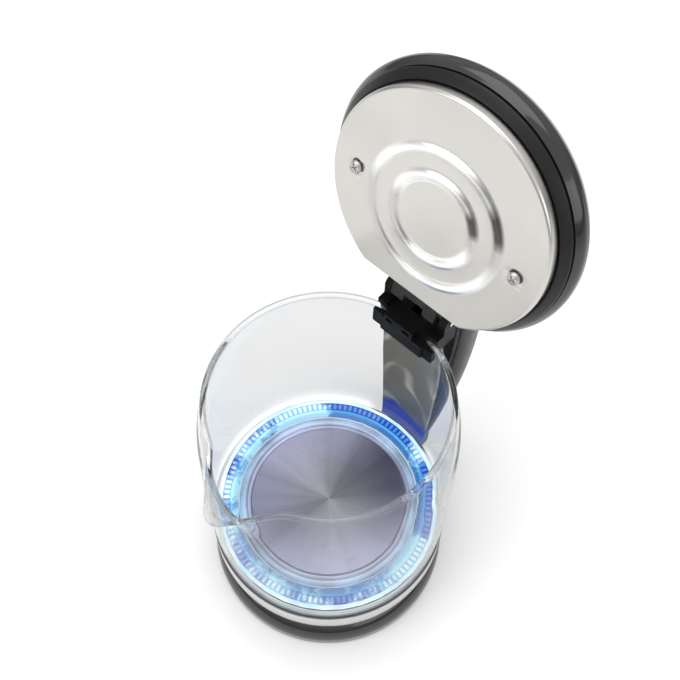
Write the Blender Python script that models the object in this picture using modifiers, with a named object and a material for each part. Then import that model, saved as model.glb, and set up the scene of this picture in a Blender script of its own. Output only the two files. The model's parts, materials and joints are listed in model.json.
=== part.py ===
"""Electric glass kettle on a 360 degree power base, built from separate pieces.

+Z is up, the handle is towards +X and the spout towards -X. The origin is on the table, on the kettle's
axis. Lengths below are in millimetres, and the helpers turn them into metres. The lid is built closed
and then swung open about its hinge, because the kettle rests with the lid open.
"""

import math

import bmesh
import bpy
from mathutils import Vector

MM = 0.001

# ---- driving dimensions, millimetres and degrees ----
BASE_RADIUS = 76.0
BASE_TOP = 21.0
JUG_FLOOR = 21.4
BAND_RADIUS = 74.0
GLASS_FOOT = 48.0
PLATE_Z = 62.0
RIM_Z = 201.0
RIM_RADIUS = 66.0
GLASS_WALL = 3.0
LENS_RADIUS = 67.0
SPOUT_REACH = 88.0
SPOUT_TIP_HALF = 7.0
SPOUT_HALF_ANGLE = 24.0
SPOUT_DEPTH = 40.0
SPOUT_DROP = 9.0
HINGE_X = 71.0
HINGE_Z = 212.4
LID_OPEN = 102.5
LID_PLATE_Z = 196.6
LID_PLATE_RADIUS = 62.1
LID_MIDDLE_X = 3.0
LID_SHEET = 0.8
LID_WALL = 2.3
LID_CHORD = 52.6
LID_SCREW_Y = 47.5
COVER_CHORD = 52.0
PIN_RADIUS = 1.6
PIN_HOLE = 1.9
ARM_HALF = 14.4
CLEARANCE = 0.35
BEYOND = 90.0
RING_STEPS = 40
SMALL_STEPS = 12
COIL_STEPS = 10
SHARP_ANGLE = math.radians(35)

# outer face of the glass as (radius, height), from the foot to just under the rim
GLASS_OUTER = [
    (70.4, 48.0), (72.3, 55.5), (73.4, 66.0), (73.2, 100.0), (72.0, 152.0), (69.6, 181.0), (67.2, 192.0),
    (66.0, 198.5),
]

COLLECTION = bpy.data.collections.new("electric_kettle")
CUTTERS = bpy.data.collections.new("cutters")


# ---- helpers ----
def clear_scene():
    for obj in list(bpy.data.objects):
        bpy.data.objects.remove(obj, do_unlink=True)
    for collection in (COLLECTION, CUTTERS):
        bpy.context.scene.collection.children.link(collection)


def material(name, colour, roughness, metallic=0.0, transmission=0.0):
    made = bpy.data.materials.new(name)
    made.use_nodes = True
    shader = made.node_tree.nodes["Principled BSDF"]
    shader.inputs["Base Color"].default_value = (*colour, 1.0)
    shader.inputs["Roughness"].default_value = roughness
    shader.inputs["Metallic"].default_value = metallic
    shader.inputs["Transmission Weight"].default_value = transmission
    return made


MATERIALS = {
    "gloss_black": material("gloss_black", (0.012, 0.012, 0.012), 0.18),
    "matte_black": material("matte_black", (0.03, 0.03, 0.03), 0.5),
    "handle_black": material("handle_black", (0.04, 0.04, 0.04), 0.35),
    "strap_grey": material("strap_grey", (0.10, 0.10, 0.095), 0.4),
    "polished_steel": material("polished_steel", (0.72, 0.70, 0.68), 0.12, 1.0),
    "brushed_steel": material("brushed_steel", (0.50, 0.50, 0.52), 0.3, 1.0),
    "glass": material("glass", (0.95, 0.97, 0.97), 0.02, 0.0, 1.0),
    "lens": material("lens", (0.35, 0.75, 1.0), 0.15, 0.0, 0.8),
    "silicone": material("silicone", (0.75, 0.76, 0.78), 0.6),
    "aluminium": material("aluminium", (0.7, 0.7, 0.7), 0.45, 1.0),
    "brass": material("brass", (0.75, 0.58, 0.28), 0.3, 1.0),
    "circuit_green": material("circuit_green", (0.05, 0.25, 0.10), 0.5),
    "led_blue": material("led_blue", (0.15, 0.45, 1.0), 0.3),
    "rubber": material("rubber", (0.05, 0.05, 0.05), 0.8),
}


def add_object(name, mesh, slot=None):
    """Puts a mesh or curve in the model, or among the cutters when it has no material slot."""
    obj = bpy.data.objects.new(name, mesh)
    if slot:
        COLLECTION.objects.link(obj)
        mesh.materials.append(MATERIALS[slot])
    else:
        CUTTERS.objects.link(obj)
        obj.hide_render = True
        obj.display_type = "WIRE"
    return obj


def shade(mesh):
    mesh.shade_smooth()
    mesh.set_sharp_from_angle(angle=SHARP_ANGLE)


def settle(obj):
    """Replaces an object's modifiers, or a curve, by the mesh that they make."""
    bpy.context.view_layer.update()
    graph = bpy.context.evaluated_depsgraph_get()
    mesh = bpy.data.meshes.new_from_object(obj.evaluated_get(graph))
    work = bmesh.new()
    work.from_mesh(mesh)
    bmesh.ops.remove_doubles(work, verts=work.verts, dist=0.001 * MM)
    bmesh.ops.recalc_face_normals(work, faces=work.faces)
    work.to_mesh(mesh)
    work.free()
    shade(mesh)
    name, kept, hidden = obj.name, obj.users_collection[0], obj.hide_render
    place, old = obj.matrix_world.copy(), obj.data
    bpy.data.objects.remove(obj)
    made = bpy.data.objects.new(name, mesh)
    kept.objects.link(made)
    made.matrix_world = place
    made.hide_render = hidden
    if hidden:
        made.display_type = "WIRE"
    if old.users == 0 and isinstance(old, bpy.types.Curve):
        bpy.data.curves.remove(old)
    return made


def lathe(name, profile, slot=None, steps=RING_STEPS, ring=True):
    """Turns a (radius, height) profile about Z. It runs down its outer side, and a ring's is closed."""
    mesh = bpy.data.meshes.new(name)
    edges = [(i, i + 1) for i in range(len(profile) - 1)]
    if ring:
        edges.append((len(profile) - 1, 0))
    mesh.from_pydata([(r * MM, 0.0, z * MM) for r, z in profile], edges, [])
    obj = add_object(name, mesh, slot)
    screw = obj.modifiers.new("turn", "SCREW")
    screw.axis = "Z"
    screw.angle = math.tau
    screw.steps = screw.render_steps = steps
    screw.use_merge_vertices = True
    screw.merge_threshold = 0.01 * MM
    screw.use_smooth_shade = True
    return settle(obj)


def box(name, low, high, slot=None, bevel=0.0, segments=2):
    """A box between two corners, with rounded edges if bevel is given."""
    low, high = Vector(low) * MM, Vector(high) * MM
    work = bmesh.new()
    bmesh.ops.create_cube(work, size=1.0)
    bmesh.ops.scale(work, vec=high - low, verts=work.verts)
    mesh = bpy.data.meshes.new(name)
    work.to_mesh(mesh)
    work.free()
    obj = add_object(name, mesh, slot)
    obj.location = (low + high) / 2
    if bevel:
        rounding = obj.modifiers.new("rounding", "BEVEL")
        rounding.width = bevel * MM
        rounding.segments = segments
        rounding.limit_method = "ANGLE"
    return obj


def rod(name, start, end, radius, slot=None, steps=SMALL_STEPS, bore=0.0):
    """A cylinder between two points, with an optional bore right through."""
    start, end = Vector(start) * MM, Vector(end) * MM
    along = end - start
    work = bmesh.new()
    bmesh.ops.create_cone(
        work, cap_ends=True, segments=steps, radius1=radius * MM, radius2=radius * MM, depth=along.length
    )
    mesh = bpy.data.meshes.new(name)
    work.to_mesh(mesh)
    work.free()
    shade(mesh)
    obj = add_object(name, mesh, slot)
    obj.rotation_euler = along.to_track_quat("Z", "Y").to_euler()
    obj.location = (start + end) / 2
    if bore:
        reach = along.normalized() / MM
        cut(obj, rod(name + "_bore", start / MM - reach, end / MM + reach, bore, steps=steps))
    return obj


def boolean(obj, other, operation):
    made = obj.modifiers.new(other.name, "BOOLEAN")
    made.operation = operation
    made.object = other
    return obj


def cut(obj, *others):
    for other in others:
        boolean(obj, other, "DIFFERENCE")
    return obj


def join(obj, *others):
    for other in others:
        boolean(obj, other, "UNION")
    return obj


def tube(name, points, radius, slot=None, resolution=2):
    """A round bar along a list of points."""
    curve = bpy.data.curves.new(name, "CURVE")
    curve.dimensions = "3D"
    spline = curve.splines.new("POLY")
    spline.points.add(len(points) - 1)
    for point, place in zip(spline.points, points):
        point.co = (*(Vector(place) * MM), 1.0)
    curve.bevel_depth = radius * MM
    curve.bevel_resolution = resolution
    curve.use_fill_caps = True
    return settle(add_object(name, curve, slot))


def coil(name, start, rise, radius, turns, wire):
    """A coil spring along Y or Z: rise is the vector from its first turn to its last."""
    start = Vector(start)
    second = Vector((0, 0, 1)) if rise.z == 0 else Vector((0, 1, 0))
    count = turns * COIL_STEPS
    points = []
    for i in range(count + 1):
        angle = math.tau * i / COIL_STEPS
        around = Vector((1, 0, 0)) * math.cos(angle) + second * math.sin(angle)
        points.append(start + rise * (i / count) + around * radius)
    return tube(name, points, wire, "polished_steel", 0)


def smooth_path(points, count):
    """Points evenly spread in parameter along a Catmull-Rom curve through the given ones."""
    given = [Vector(p) for p in points]
    padded = [2 * given[0] - given[1], *given, 2 * given[-1] - given[-2]]
    made = []
    for i in range(count):
        t = i * (len(given) - 1) / (count - 1)
        k = min(int(t), len(given) - 2)
        t -= k
        a, b, c, d = padded[k : k + 4]
        cubic = (3 * b - a - 3 * c + d) * t**3
        made.append(0.5 * (2 * b + (c - a) * t + (2 * a - 5 * b + 4 * c - d) * t * t + cubic))
    return made


def swept(name, path, half_thick, half_wide, slot=None, sides=20, power=2.0):
    """A bar along a path in the XZ plane, with a superellipse section of the given half sizes."""
    work = bmesh.new()
    rings = []
    for i, place in enumerate(path):
        along = (path[min(i + 1, len(path) - 1)] - path[max(i - 1, 0)]).normalized()
        inward = Vector((0, 1, 0)).cross(along)
        ring = []
        for k in range(sides):
            angle = math.tau * k / sides
            c, s = math.cos(angle), math.sin(angle)
            across = half_thick * math.copysign(abs(c) ** (2 / power), c)
            sideways = half_wide * math.copysign(abs(s) ** (2 / power), s)
            ring.append(work.verts.new((place + inward * across + Vector((0, sideways, 0))) * MM))
        rings.append(ring)
    for near, far in zip(rings, rings[1:]):
        for k in range(sides):
            n = (k + 1) % sides
            work.faces.new((near[k], near[n], far[n], far[k]))
    work.faces.new(rings[0])
    work.faces.new(rings[-1])
    bmesh.ops.recalc_face_normals(work, faces=work.faces)
    mesh = bpy.data.meshes.new(name)
    work.to_mesh(mesh)
    work.free()
    shade(mesh)
    return add_object(name, mesh, slot)


def screw(name, place, direction, length, head=3.2, shank=1.4, steps=8, cross=False):
    """A screw whose seat is at place and whose shank points along direction, cross-cut if it shows."""
    top = head * 0.55
    profile = [
        (0.0, top), (head * 0.7, top * 0.8), (head, 0.0), (shank, 0.0), (shank, -length), (0.0, -length),
    ]
    obj = lathe(name, profile, "polished_steel", steps, ring=False)
    arm, wide, deep = head * 0.55, head * 0.13, top * 0.35
    slits = ((arm, wide), (wide, arm)) if cross else ()
    for k, (x, y) in enumerate(slits):
        slit = box(f"{name}_slit_{k}", (-x, -y, deep), (x, y, top + 1.0))
        slit.parent = obj
        cut(obj, slit)
    obj.rotation_euler = (-Vector(direction)).to_track_quat("Z", "Y").to_euler()
    obj.location = Vector(place) * MM
    return obj


def polar(radius, degrees, z):
    angle = math.radians(degrees)
    return (radius * math.cos(angle), radius * math.sin(angle), z)


def glass_radius(z):
    """Outer radius of the glass at a height, between the points of its outline."""
    for (r0, z0), (r1, z1) in zip(GLASS_OUTER, GLASS_OUTER[1:]):
        if z <= z1:
            return r0 + (r1 - r0) * max(0.0, (z - z0) / (z1 - z0))
    return GLASS_OUTER[-1][0]


def glass_shell(name, grow, slot=None):
    """The jug's turned wall, grown by a margin on both faces."""
    outer = [(r + grow, z) for r, z in reversed(GLASS_OUTER)]
    inner = [(r - GLASS_WALL - grow, z) for r, z in GLASS_OUTER]
    bead = [(RIM_RADIUS - 2.2, RIM_Z + grow), (RIM_RADIUS - 0.5 + grow, RIM_Z - 0.7 + grow)]
    if grow:
        outer[-1] = (outer[-1][0], outer[-1][1] - grow)
        inner[0] = (inner[0][0], inner[0][1] - grow)
    return lathe(name, [*bead, *outer, *inner], slot, steps=56)


# ---- the power base ----
SCREW_RING = 50.0
BASE_SCREWS = (60.0, 180.0, 300.0)
FOOT_RING = 62.0
FEET = (45.0, 135.0, 225.0, 315.0)
INLET_Z = 10.5


def power_base():
    cover = lathe(
        "base_cover",
        [
            (15.6, BASE_TOP), (62, BASE_TOP), (70, 18.6), (74.6, 14), (BASE_RADIUS, 8), (BASE_RADIUS, 2.4),
            (73.8, 2.4), (73.8, 8), (72.4, 12.6), (68.8, 16.4), (61.6, 18.7), (15.6, 18.7),
        ],
        "gloss_black",
    )
    bottom = lathe(
        "base_bottom",
        [(0, 4.8), (73.2, 4.8), (73.2, 2.6), (34, 2.6), (32.6, 1.0), (0, 1.0)],
        "matte_black",
        ring=False,
    )
    for k, angle in enumerate(BASE_SCREWS):
        join(cover, rod(f"boss_{k}", polar(SCREW_RING, angle, 5.2), polar(SCREW_RING, angle, 19.6), 3.8))
        cut(cover, rod(f"boss_hole_{k}", polar(SCREW_RING, angle, 4), polar(SCREW_RING, angle, 15.5), 1.75))
        cut(bottom, rod(f"floor_hole_{k}", polar(SCREW_RING, angle, 0), polar(SCREW_RING, angle, 8), 1.8))
        seat = polar(SCREW_RING, angle, 2.3)
        screw(f"base_screw_{k + 1}", seat, (0, 0, 1), 12.0, head=2.4, cross=True)
    for k, angle in enumerate(FEET):
        cut(bottom, rod(f"foot_hole_{k}", polar(FOOT_RING, angle, 0), polar(FOOT_RING, angle, 8), 2.4))
        foot = lathe(
            f"base_foot_{k + 1}",
            [(0, 6.2), (2.0, 6.2), (2.0, 2.3), (6.8, 2.3), (6.2, 0.0), (0, 0.0)],
            "rubber",
            steps=16,
            ring=False,
        )
        foot.location = Vector(polar(FOOT_RING, angle, 0)) * MM
    cut(cover, rod("inlet_hole", (70, 0, INLET_Z), (80, 0, INLET_Z), 5.4))
    inlet = rod("cord_inlet", (70.5, 0, INLET_Z), (78.6, 0, INLET_Z), 5.0, "matte_black", bore=3.4)
    join(inlet, rod("inlet_flange", (76.5, 0, INLET_Z), (78.6, 0, INLET_Z), 6.6, bore=3.4))


def base_connector():
    """The round coupling that the jug lowers onto, with a slot for each contact."""
    lathe(
        "base_connector",
        [
            (2.4, 38), (6.6, 38), (6.6, 24), (9.4, 24), (9.4, 38), (12.2, 38), (12.8, 37.2), (12.8, 18.3),
            (20, 18.3), (20, 6), (2.4, 6),
        ],
        "matte_black",
        steps=20,
    )


# ---- the jug's lower housing and heater ----
HANDLE_SCREWS = (-7.0, 7.0)
HANDLE_SCREW_Z = 42.0
STEAM_EXIT_Z = 41.5
STEAM_HOLE = 2.2
FLOOR_SCREW_RING = 40.0


def lower_housing():
    collar = lathe(
        "jug_collar",
        [
            (73.3, 55.4), (73.9, 52.6), (72.9, 52.3), (72.9, 37.9), (73.7, 37.6), (72.6, 29),
            (70, JUG_FLOOR), (66.8, JUG_FLOOR), (69.2, 29), (69.6, 44.6), (67.0, 44.6), (67.0, 47.6),
            (70.75, 47.65), (72.65, 55.2),
        ],
        "gloss_black",
    )
    band = lathe(
        "steel_band",
        [
            (73.5, 52.0), (BAND_RADIUS, 51.4), (BAND_RADIUS, 38.8), (73.5, 38.2), (73.25, 38.2),
            (73.25, 52.0),
        ],
        "brushed_steel",
    )
    for obj in (collar, band):
        near, far = ((x, 0, STEAM_EXIT_Z) for x in (60, 80))
        cut(obj, rod(obj.name + "_steam_hole", near, far, STEAM_HOLE))
        for angle in HANDLE_SCREWS:
            near, far = (polar(radius, angle, HANDLE_SCREW_Z) for radius in (60, 80))
            cut(obj, rod(f"{obj.name}_hole_{angle:.0f}", near, far, 1.8))
    bottom = lathe("jug_bottom", [(14.2, 25), (66.2, 25), (66.2, 22.8), (14.2, 22.8)], "matte_black")
    for k, angle in enumerate((0.0, 120.0, 240.0)):
        low, seat, high = (polar(FLOOR_SCREW_RING, angle, z) for z in (20, 22.5, 28))
        cut(bottom, rod(f"jug_hole_{k}", low, high, 1.8))
        screw(f"jug_screw_{k + 1}", seat, (0, 0, 1), 9.0, head=2.0, shank=1.3)


def socket():
    """The jug's half of the coupling: a hood, the earth pin and the live ring."""
    hood = lathe(
        "jug_socket",
        [(0, 45), (18, 45), (18, 25.4), (13.4, 25.4), (13.4, 39), (0, 39)],
        "matte_black",
        steps=24,
        ring=False,
    )
    cut(hood, rod("earth_hole", (0, 0, 36), (0, 0, 50), 2.2))
    rod("earth_pin", (0, 0, 27), (0, 0, 47), 1.85, "brass", steps=12)
    lathe("live_ring", [(7.2, 38.6), (8.8, 38.6), (8.8, 27), (7.2, 27)], "brass", steps=24)
    control = box("thermostat_body", (19, -14, 27), (38, 14, 46), "matte_black", bevel=1.5, segments=1)
    for side, y in (("left", -7.0), ("right", 7.0)):
        cut(control, rod(f"bimetal_seat_{side}", (28, y, 44.6), (28, y, 50), 6.2, steps=20))
        disc = lathe(
            f"bimetal_disc_{side}",
            [(0, 1.4), (3.4, 1.1), (5.8, 0.0), (5.8, -0.5), (3.4, 0.6), (0, 0.9)],
            "aluminium",
            steps=20,
            ring=False,
        )
        disc.location = Vector((28, y, 45.8)) * MM


ELEMENT_RING = 38.0
LED_RING = 62.0


def heater():
    lathe(
        "heater_plate",
        [
            (0, PLATE_Z), (48.4, PLATE_Z), (49.8, 60.8), (51.4, 62.2), (54.8, 62.2), (56, 60.8), (56, 52),
            (55, 52), (55, 60.4), (54.2, 61.2), (51.8, 61.2), (50, 59.6), (47.8, 60.8), (0, 60.8),
        ],
        "brushed_steel",
        ring=False,
    )
    lathe("heat_spreader", [(0, 60.4), (46, 60.4), (46, 56), (0, 56)], "aluminium", steps=36, ring=False)
    bend = [polar(ELEMENT_RING, angle, 52) for angle in range(24, 337, 24)]
    first, last = (polar(ELEMENT_RING, angle, 47) for angle in (24, 336))
    tube("heating_element", [first, *bend, last], 3.3, "brushed_steel", 1)
    lathe("plate_seal", [(56.35, 61.4), (57.05, 61.8), (57.05, 52.4), (56.35, 52.4)], "silicone", steps=36)
    lathe(
        "led_lens",
        [
            (57.4, 62.0), (61.0, 62.0), (61.6, 62.8), (66.4, 62.8), (LENS_RADIUS, 62.2),
            (LENS_RADIUS, 56.6), (57.4, 56.6),
        ],
        "lens",
    )
    lathe("glass_seal", [(67.35, 62.0), (69.4, 62.0), (68.6, 56.6), (67.35, 56.6)], "silicone", steps=36)
    lathe("led_board", [(58, 50.6), (66, 50.6), (66, 49), (58, 49)], "circuit_green", steps=36)
    for k in range(6):
        led = box(f"led_{k + 1}", (-1.75, -1.5, 0), (1.75, 1.5, 1.8), "led_blue")
        angle = 30.0 + 60.0 * k
        led.rotation_euler = (0, 0, math.radians(angle))
        led.location = Vector(polar(LED_RING, angle, 51.9)) * MM


# ---- the glass ----
def spout_pull(angle, height):
    """How far the wall moves outwards at an angle from the spout's middle, and at a height."""
    share = abs(angle) / math.radians(SPOUT_HALF_ANGLE)
    if share >= 1.0 or height <= RIM_Z - SPOUT_DEPTH:
        return 0.0
    corner = math.radians(SPOUT_HALF_ANGLE)
    start = Vector((RIM_RADIUS * math.cos(corner), RIM_RADIUS * math.sin(corner)))
    tip = Vector((SPOUT_REACH - 1.5, SPOUT_TIP_HALF))
    side = tip - start
    ray = Vector((math.cos(abs(angle)), math.sin(abs(angle))))
    reach = start.cross(side) / ray.cross(side)
    reach = min(reach, SPOUT_REACH)
    rise = (height - (RIM_Z - SPOUT_DEPTH)) / SPOUT_DEPTH
    return (reach - RIM_RADIUS) * rise**2.2


def glass_jug():
    glass = glass_shell("glass_jug", 0.0, "glass")
    for vertex in glass.data.vertices:
        x, y, z = vertex.co / MM
        angle = math.atan2(y, -x)
        pull = spout_pull(angle, z)
        if pull <= 0.0:
            continue
        radius = math.hypot(x, y)
        grown = (radius + pull) / radius
        drop = SPOUT_DROP * pull / (SPOUT_REACH - RIM_RADIUS)
        vertex.co = Vector((x * grown, y * grown, z - drop)) * MM


# ---- the handle ----
GRIP = [
    (74, 0, 195.5), (84, 0, 196.3), (95, 0, 194.2), (104.5, 0, 188), (110.8, 0, 177.5),
    (113.6, 0, 163), (114.2, 0, 145), (113.6, 0, 125), (111.4, 0, 106), (107, 0, 88),
    (99.8, 0, 72), (90, 0, 58.5), (74, 0, 46),
]
GRIP_THICK = 11.0
GRIP_WIDE = 14.5
LINER_INSET = 9.4
LINER_THICK = 3.0
LINER_WIDE = 9.0
STEAM_RADIUS = 3.0
STEAM_BORE = 2.0
STRAP_HALF = 20.5
BRACKET_SCREW_X = 74.0
BRACKET_SCREW_Y = 10.0
BUTTON = ((87, -8, 201.6), (101, 8, 208.6))


def inner_path(first, last, inset, count):
    """The grip's centre line between two of its points, moved towards the hand gap."""
    path = smooth_path(GRIP[first:last], count)
    moved = []
    for i, place in enumerate(path):
        along = (path[min(i + 1, count - 1)] - path[max(i - 1, 0)]).normalized()
        moved.append(place + Vector((0, 1, 0)).cross(along) * inset)
    return moved


def handle():
    liner_path = inner_path(3, 11, LINER_INSET, 12)
    shell = swept("handle_shell", smooth_path(GRIP, 22), GRIP_THICK, GRIP_WIDE, "handle_black", 16, 2.5)
    body_outline = [(0, 230), (77.8, 230), (77.8, 56.4), (74.6, 55.8), (74.6, 20), (0, 20)]
    (x0, y0, _), (x1, y1, _) = BUTTON
    cut(
        shell,
        lathe("body_room", body_outline, steps=60, ring=False),
        swept("liner_room", liner_path, LINER_THICK + 0.4, LINER_WIDE + CLEARANCE, None, 12, 4.0),
        box("button_room", (x0 - 0.4, y0 - 0.4, 198), (x1 + 0.4, y1 + 0.4, 220)),
        box("finger_room", (70, -4, 199.4), (90, 4, 206.2)),
        box("switch_room", (70, -20, 20), (130, 20, 38.4)),
        tube("steam_room", steam_route(1.0), STEAM_RADIUS + 0.5, None, 1),
        box("bracket_room", (60, -25, 190), (77.6, 25, 230)),
        rod("steam_exit", (70, 0, STEAM_EXIT_Z), (79, 0, STEAM_EXIT_Z), STEAM_HOLE),
    )
    liner = swept("handle_liner", liner_path, LINER_THICK, LINER_WIDE, "matte_black", 12, 4.0)
    steam = tube("steam_tube", steam_route(0.0), STEAM_RADIUS, "silicone", 1)
    cut(steam, tube("steam_bore", steam_route(1.0), STEAM_BORE, None, 1))
    cut(liner, tube("liner_steam_room", steam_route(1.0), STEAM_RADIUS + 0.5, None, 1))
    for side, angle in zip(("left", "right"), HANDLE_SCREWS):
        near, seat, far = (polar(radius, angle, HANDLE_SCREW_Z) for radius in (70, 69.2, 88))
        cut(shell, rod(f"handle_hole_{side}", near, far, 1.8))
        screw(f"handle_screw_{side}", seat, polar(1, angle, 0), 15.0, head=2.2)


STEAM_PATH = [
    (78.4, 0, 194.6), (86, 0, 193), (95, 0, 189.6), (103, 0, 183), (108.6, 0, 173),
    (111, 0, 162), (111.8, 0, 145), (111.4, 0, 125), (109.4, 0, 107), (105.4, 0, 90),
    (98, 0, 75), (89.6, 0, 62), (82.6, 0, 52), (78.8, 0, 45),
]


def steam_route(spare):
    """The steam tube's centre line, run on straight at both ends by a spare length."""
    path = smooth_path(STEAM_PATH, 13)
    first = path[0] + (path[0] - path[1]).normalized() * spare
    last = path[-1] + (path[-1] - path[-2]).normalized() * spare
    return [first, *path, last] if spare else path


def strap():
    """The strip behind the glass that the handle and the hinge bracket hang from."""
    heights = (56.4, 66, 95, 145, 172, 184.5, 191.6)
    inner = [(glass_radius(z) + 0.4, z) for z in heights]
    outer = [(glass_radius(z) + 3.6, z) for z in reversed(heights)]
    obj = lathe("handle_strap", [*outer, *inner], "strap_grey", steps=56)
    boolean(obj, box("strap_side", (50, -STRAP_HALF, 40), (90, STRAP_HALF, 200)), "INTERSECT")
    head = box("strap_head", (68.4, -13, 178), (76.6, 13, 191.6))
    cut(head, glass_shell("glass_room", 0.4))
    join(obj, head)
    for y in (-BRACKET_SCREW_Y, BRACKET_SCREW_Y):
        near, far = ((BRACKET_SCREW_X, y, z) for z in (184, 200))
        cut(obj, rod(f"strap_hole_{y:.0f}", near, far, 1.6))


# ---- hinge bracket, pin and spring ----
BRACKET_HALF = 20.7
BRACKET_TOP = 202.7
EAR_INNER = 16.0
EAR_RADIUS = 5.2
EAR_ROOT = 5.0
PIN_HALF = 21.4
WINDOWS = ((-4.9, -0.3), (6.6, 11.2))


def hinge_bracket():
    bracket = box("hinge_bracket", (57.6, -BRACKET_HALF, 187), (77.2, BRACKET_HALF, 205), "matte_black")
    join(bracket, box("bracket_front", (56.6, -14.2, 186.5), (62, 14.2, 204)))
    for side in (-1, 1):
        low, high = sorted((side * EAR_INNER, side * BRACKET_HALF))
        x0, x1 = HINGE_X - EAR_ROOT, HINGE_X + EAR_ROOT
        join(
            bracket,
            box(f"ear_root_{side}", (x0, low, 203), (x1, high, HINGE_Z)),
            rod(f"ear_{side}", (HINGE_X, low, HINGE_Z), (HINGE_X, high, HINGE_Z), EAR_RADIUS, steps=20),
        )
    arm_side = ARM_HALF + CLEARANCE
    cut(
        bracket,
        glass_shell("bracket_glass_room", CLEARANCE),
        box("below_saddle", (64.2, -30, 170), (90, 30, 191.95)),
        box("arm_room", (50, -arm_side, BRACKET_TOP), (90, arm_side, 230)),
        box("step_right", (50, -25, 196.8), (61.2, -7, 230)),
        box("step_left", (50, 12.3, 198.8), (61.2, 25, 230)),
        box("finger_slot", (68.4, -4, 192.5), (90, 4, 230)),
        rod("bracket_pin_hole", (HINGE_X, -30, HINGE_Z), (HINGE_X, 30, HINGE_Z), PIN_HOLE),
    )
    for low, high in WINDOWS:
        cut(bracket, box(f"window_{high:.0f}", (50, low, 198), (58.4, high, 200.8)))
    for side, y in (("left", -BRACKET_SCREW_Y), ("right", BRACKET_SCREW_Y)):
        low, rest, seat, high = ((BRACKET_SCREW_X, y, z) for z in (185, 200.6, 200.8, 210))
        cut(
            bracket,
            rod(f"bracket_hole_{side}", low, high, 1.7),
            rod(f"bracket_head_room_{side}", rest, high, 3.0),
        )
        screw(f"bracket_screw_{side}", seat, (0, 0, -1), 12.5, head=2.5)
    pin_ends = ((HINGE_X, -PIN_HALF, HINGE_Z), (HINGE_X, PIN_HALF, HINGE_Z))
    rod("hinge_pin", *pin_ends, PIN_RADIUS, "polished_steel")
    rise = Vector((0, 11.0, 0))
    coil("hinge_spring", (HINGE_X, -5.5, HINGE_Z), rise, 2.9, turns=6, wire=0.55)


# ---- the lid, built closed ----
def beyond(name, x):
    """A block that takes away everything past x, at the lid's height."""
    return box(name, (x, -BEYOND, 150), (BEYOND, BEYOND, 260))


def d_shell(name, outer, inner, chord, wall, slot):
    """A turned cup with a straight wall across it at x = chord."""
    shell = lathe(name, outer, slot, ring=False)
    hollow = lathe(name + "_hollow", inner, ring=False)
    cut(hollow, beyond(name + "_inner_chord", chord - wall))
    cut(shell, beyond(name + "_chord", chord), hollow)
    return shell


def off_centre(obj):
    """Moves the middle of the turned plate towards the hinge, where its ridges lie, but not its edge."""
    for vertex in obj.data.vertices:
        radius = vertex.co.xy.length / MM
        share = (59.3 - radius) / (59.3 - 39.2)
        vertex.co.x += LID_MIDDLE_X * MM * max(0.0, min(1.0, share))


def lid_plate():
    z, radius = LID_PLATE_Z, LID_PLATE_RADIUS
    face = [(0, 0), (20.7, 0), (23.2, -1.0), (25.7, 0), (34, 0), (36.6, -1.0), (39.2, 0), (59.3, 0)]
    face += [(60.6, 0), (61.6, 0.5), (radius, 1.6)]
    inside = radius - LID_SHEET
    outer = [(0, z + 7), (radius, z + 7), *[(r, z + h) for r, h in reversed(face)]]
    inner = [(0, z + 9), (inside, z + 9)]
    inner += [(min(r, inside), z + h + LID_SHEET) for r, h in reversed(face[:-1])]
    plate = d_shell("lid_plate", outer, inner, LID_CHORD, LID_SHEET, "polished_steel")
    off_centre(plate)
    off_centre(bpy.data.objects["lid_plate_hollow"])
    return plate


def lid_frame():
    outline = [
        (0, 206.2), (67.2, 206.2), (66.8, 205.2), (64.6, 203.2), (63.4, 202.2), (62.6, 202.2),
        (62.6, 204), (0, 204),
    ]
    frame = lathe("lid_frame", outline, "matte_black", ring=False)
    cut(frame, beyond("frame_chord", COVER_CHORD))
    low, high = ((HINGE_X, y, HINGE_Z) for y in (-ARM_HALF, ARM_HALF))
    join(
        frame,
        box("arm", (50.4, -ARM_HALF, 204.4), (HINGE_X, ARM_HALF, 214.2)),
        rod("arm_barrel", low, high, 4.8, steps=20),
    )
    cut(
        frame,
        box("spring_room", (HINGE_X - 4.9, -6.4, 200), (80, 6.4, 230)),
        rod("frame_pin_hole", (HINGE_X, -30, HINGE_Z), (HINGE_X, 30, HINGE_Z), PIN_HOLE),
    )
    return frame


def lid_cover():
    outer = [
        (0, 231.4), (24, 230.8), (44, 228.6), (58, 225), (66.4, 220), (70.0, 214.6), (70.4, 211.4),
        (69.4, 209), (67.6, 207), (0, 207),
    ]
    inner = [
        (0, 229), (23.6, 228.4), (43.2, 226.3), (56.2, 222.9), (63.8, 218.4), (67.6, 213.9), (68, 211.8),
        (67.2, 210.2), (65.2, 208), (65.2, 206), (0, 206),
    ]
    cover = d_shell("lid_cover", outer, inner, COVER_CHORD, LID_WALL, "gloss_black")
    arm_side = ARM_HALF + CLEARANCE
    cut(cover, box("cover_arm_room", (49, -arm_side, 200), (80, arm_side, 214.6)))


def lid():
    x, z = LID_MIDDLE_X, LID_PLATE_Z
    plate, frame = lid_plate(), lid_frame()
    lid_cover()
    for side, y in (("left", -LID_SCREW_Y), ("right", LID_SCREW_Y)):
        join(frame, rod(f"lid_boss_{side}", (x, y, z + 2.2), (x, y, 205), 4.4))
        cut(plate, rod(f"plate_hole_{side}", (x, y, z - 4), (x, y, z + 4), 1.9))
        cut(frame, rod(f"boss_hole_{side}", (x, y, z), (x, y, 204.6), 1.75))
        screw(f"lid_screw_{side}", (x, y, z - 0.3), (0, 0, 1), 7.6, head=3.4, steps=16, cross=True)


LID_NODES = ("lid_plate", "lid_frame", "lid_cover", "lid_screw_left", "lid_screw_right")


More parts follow.
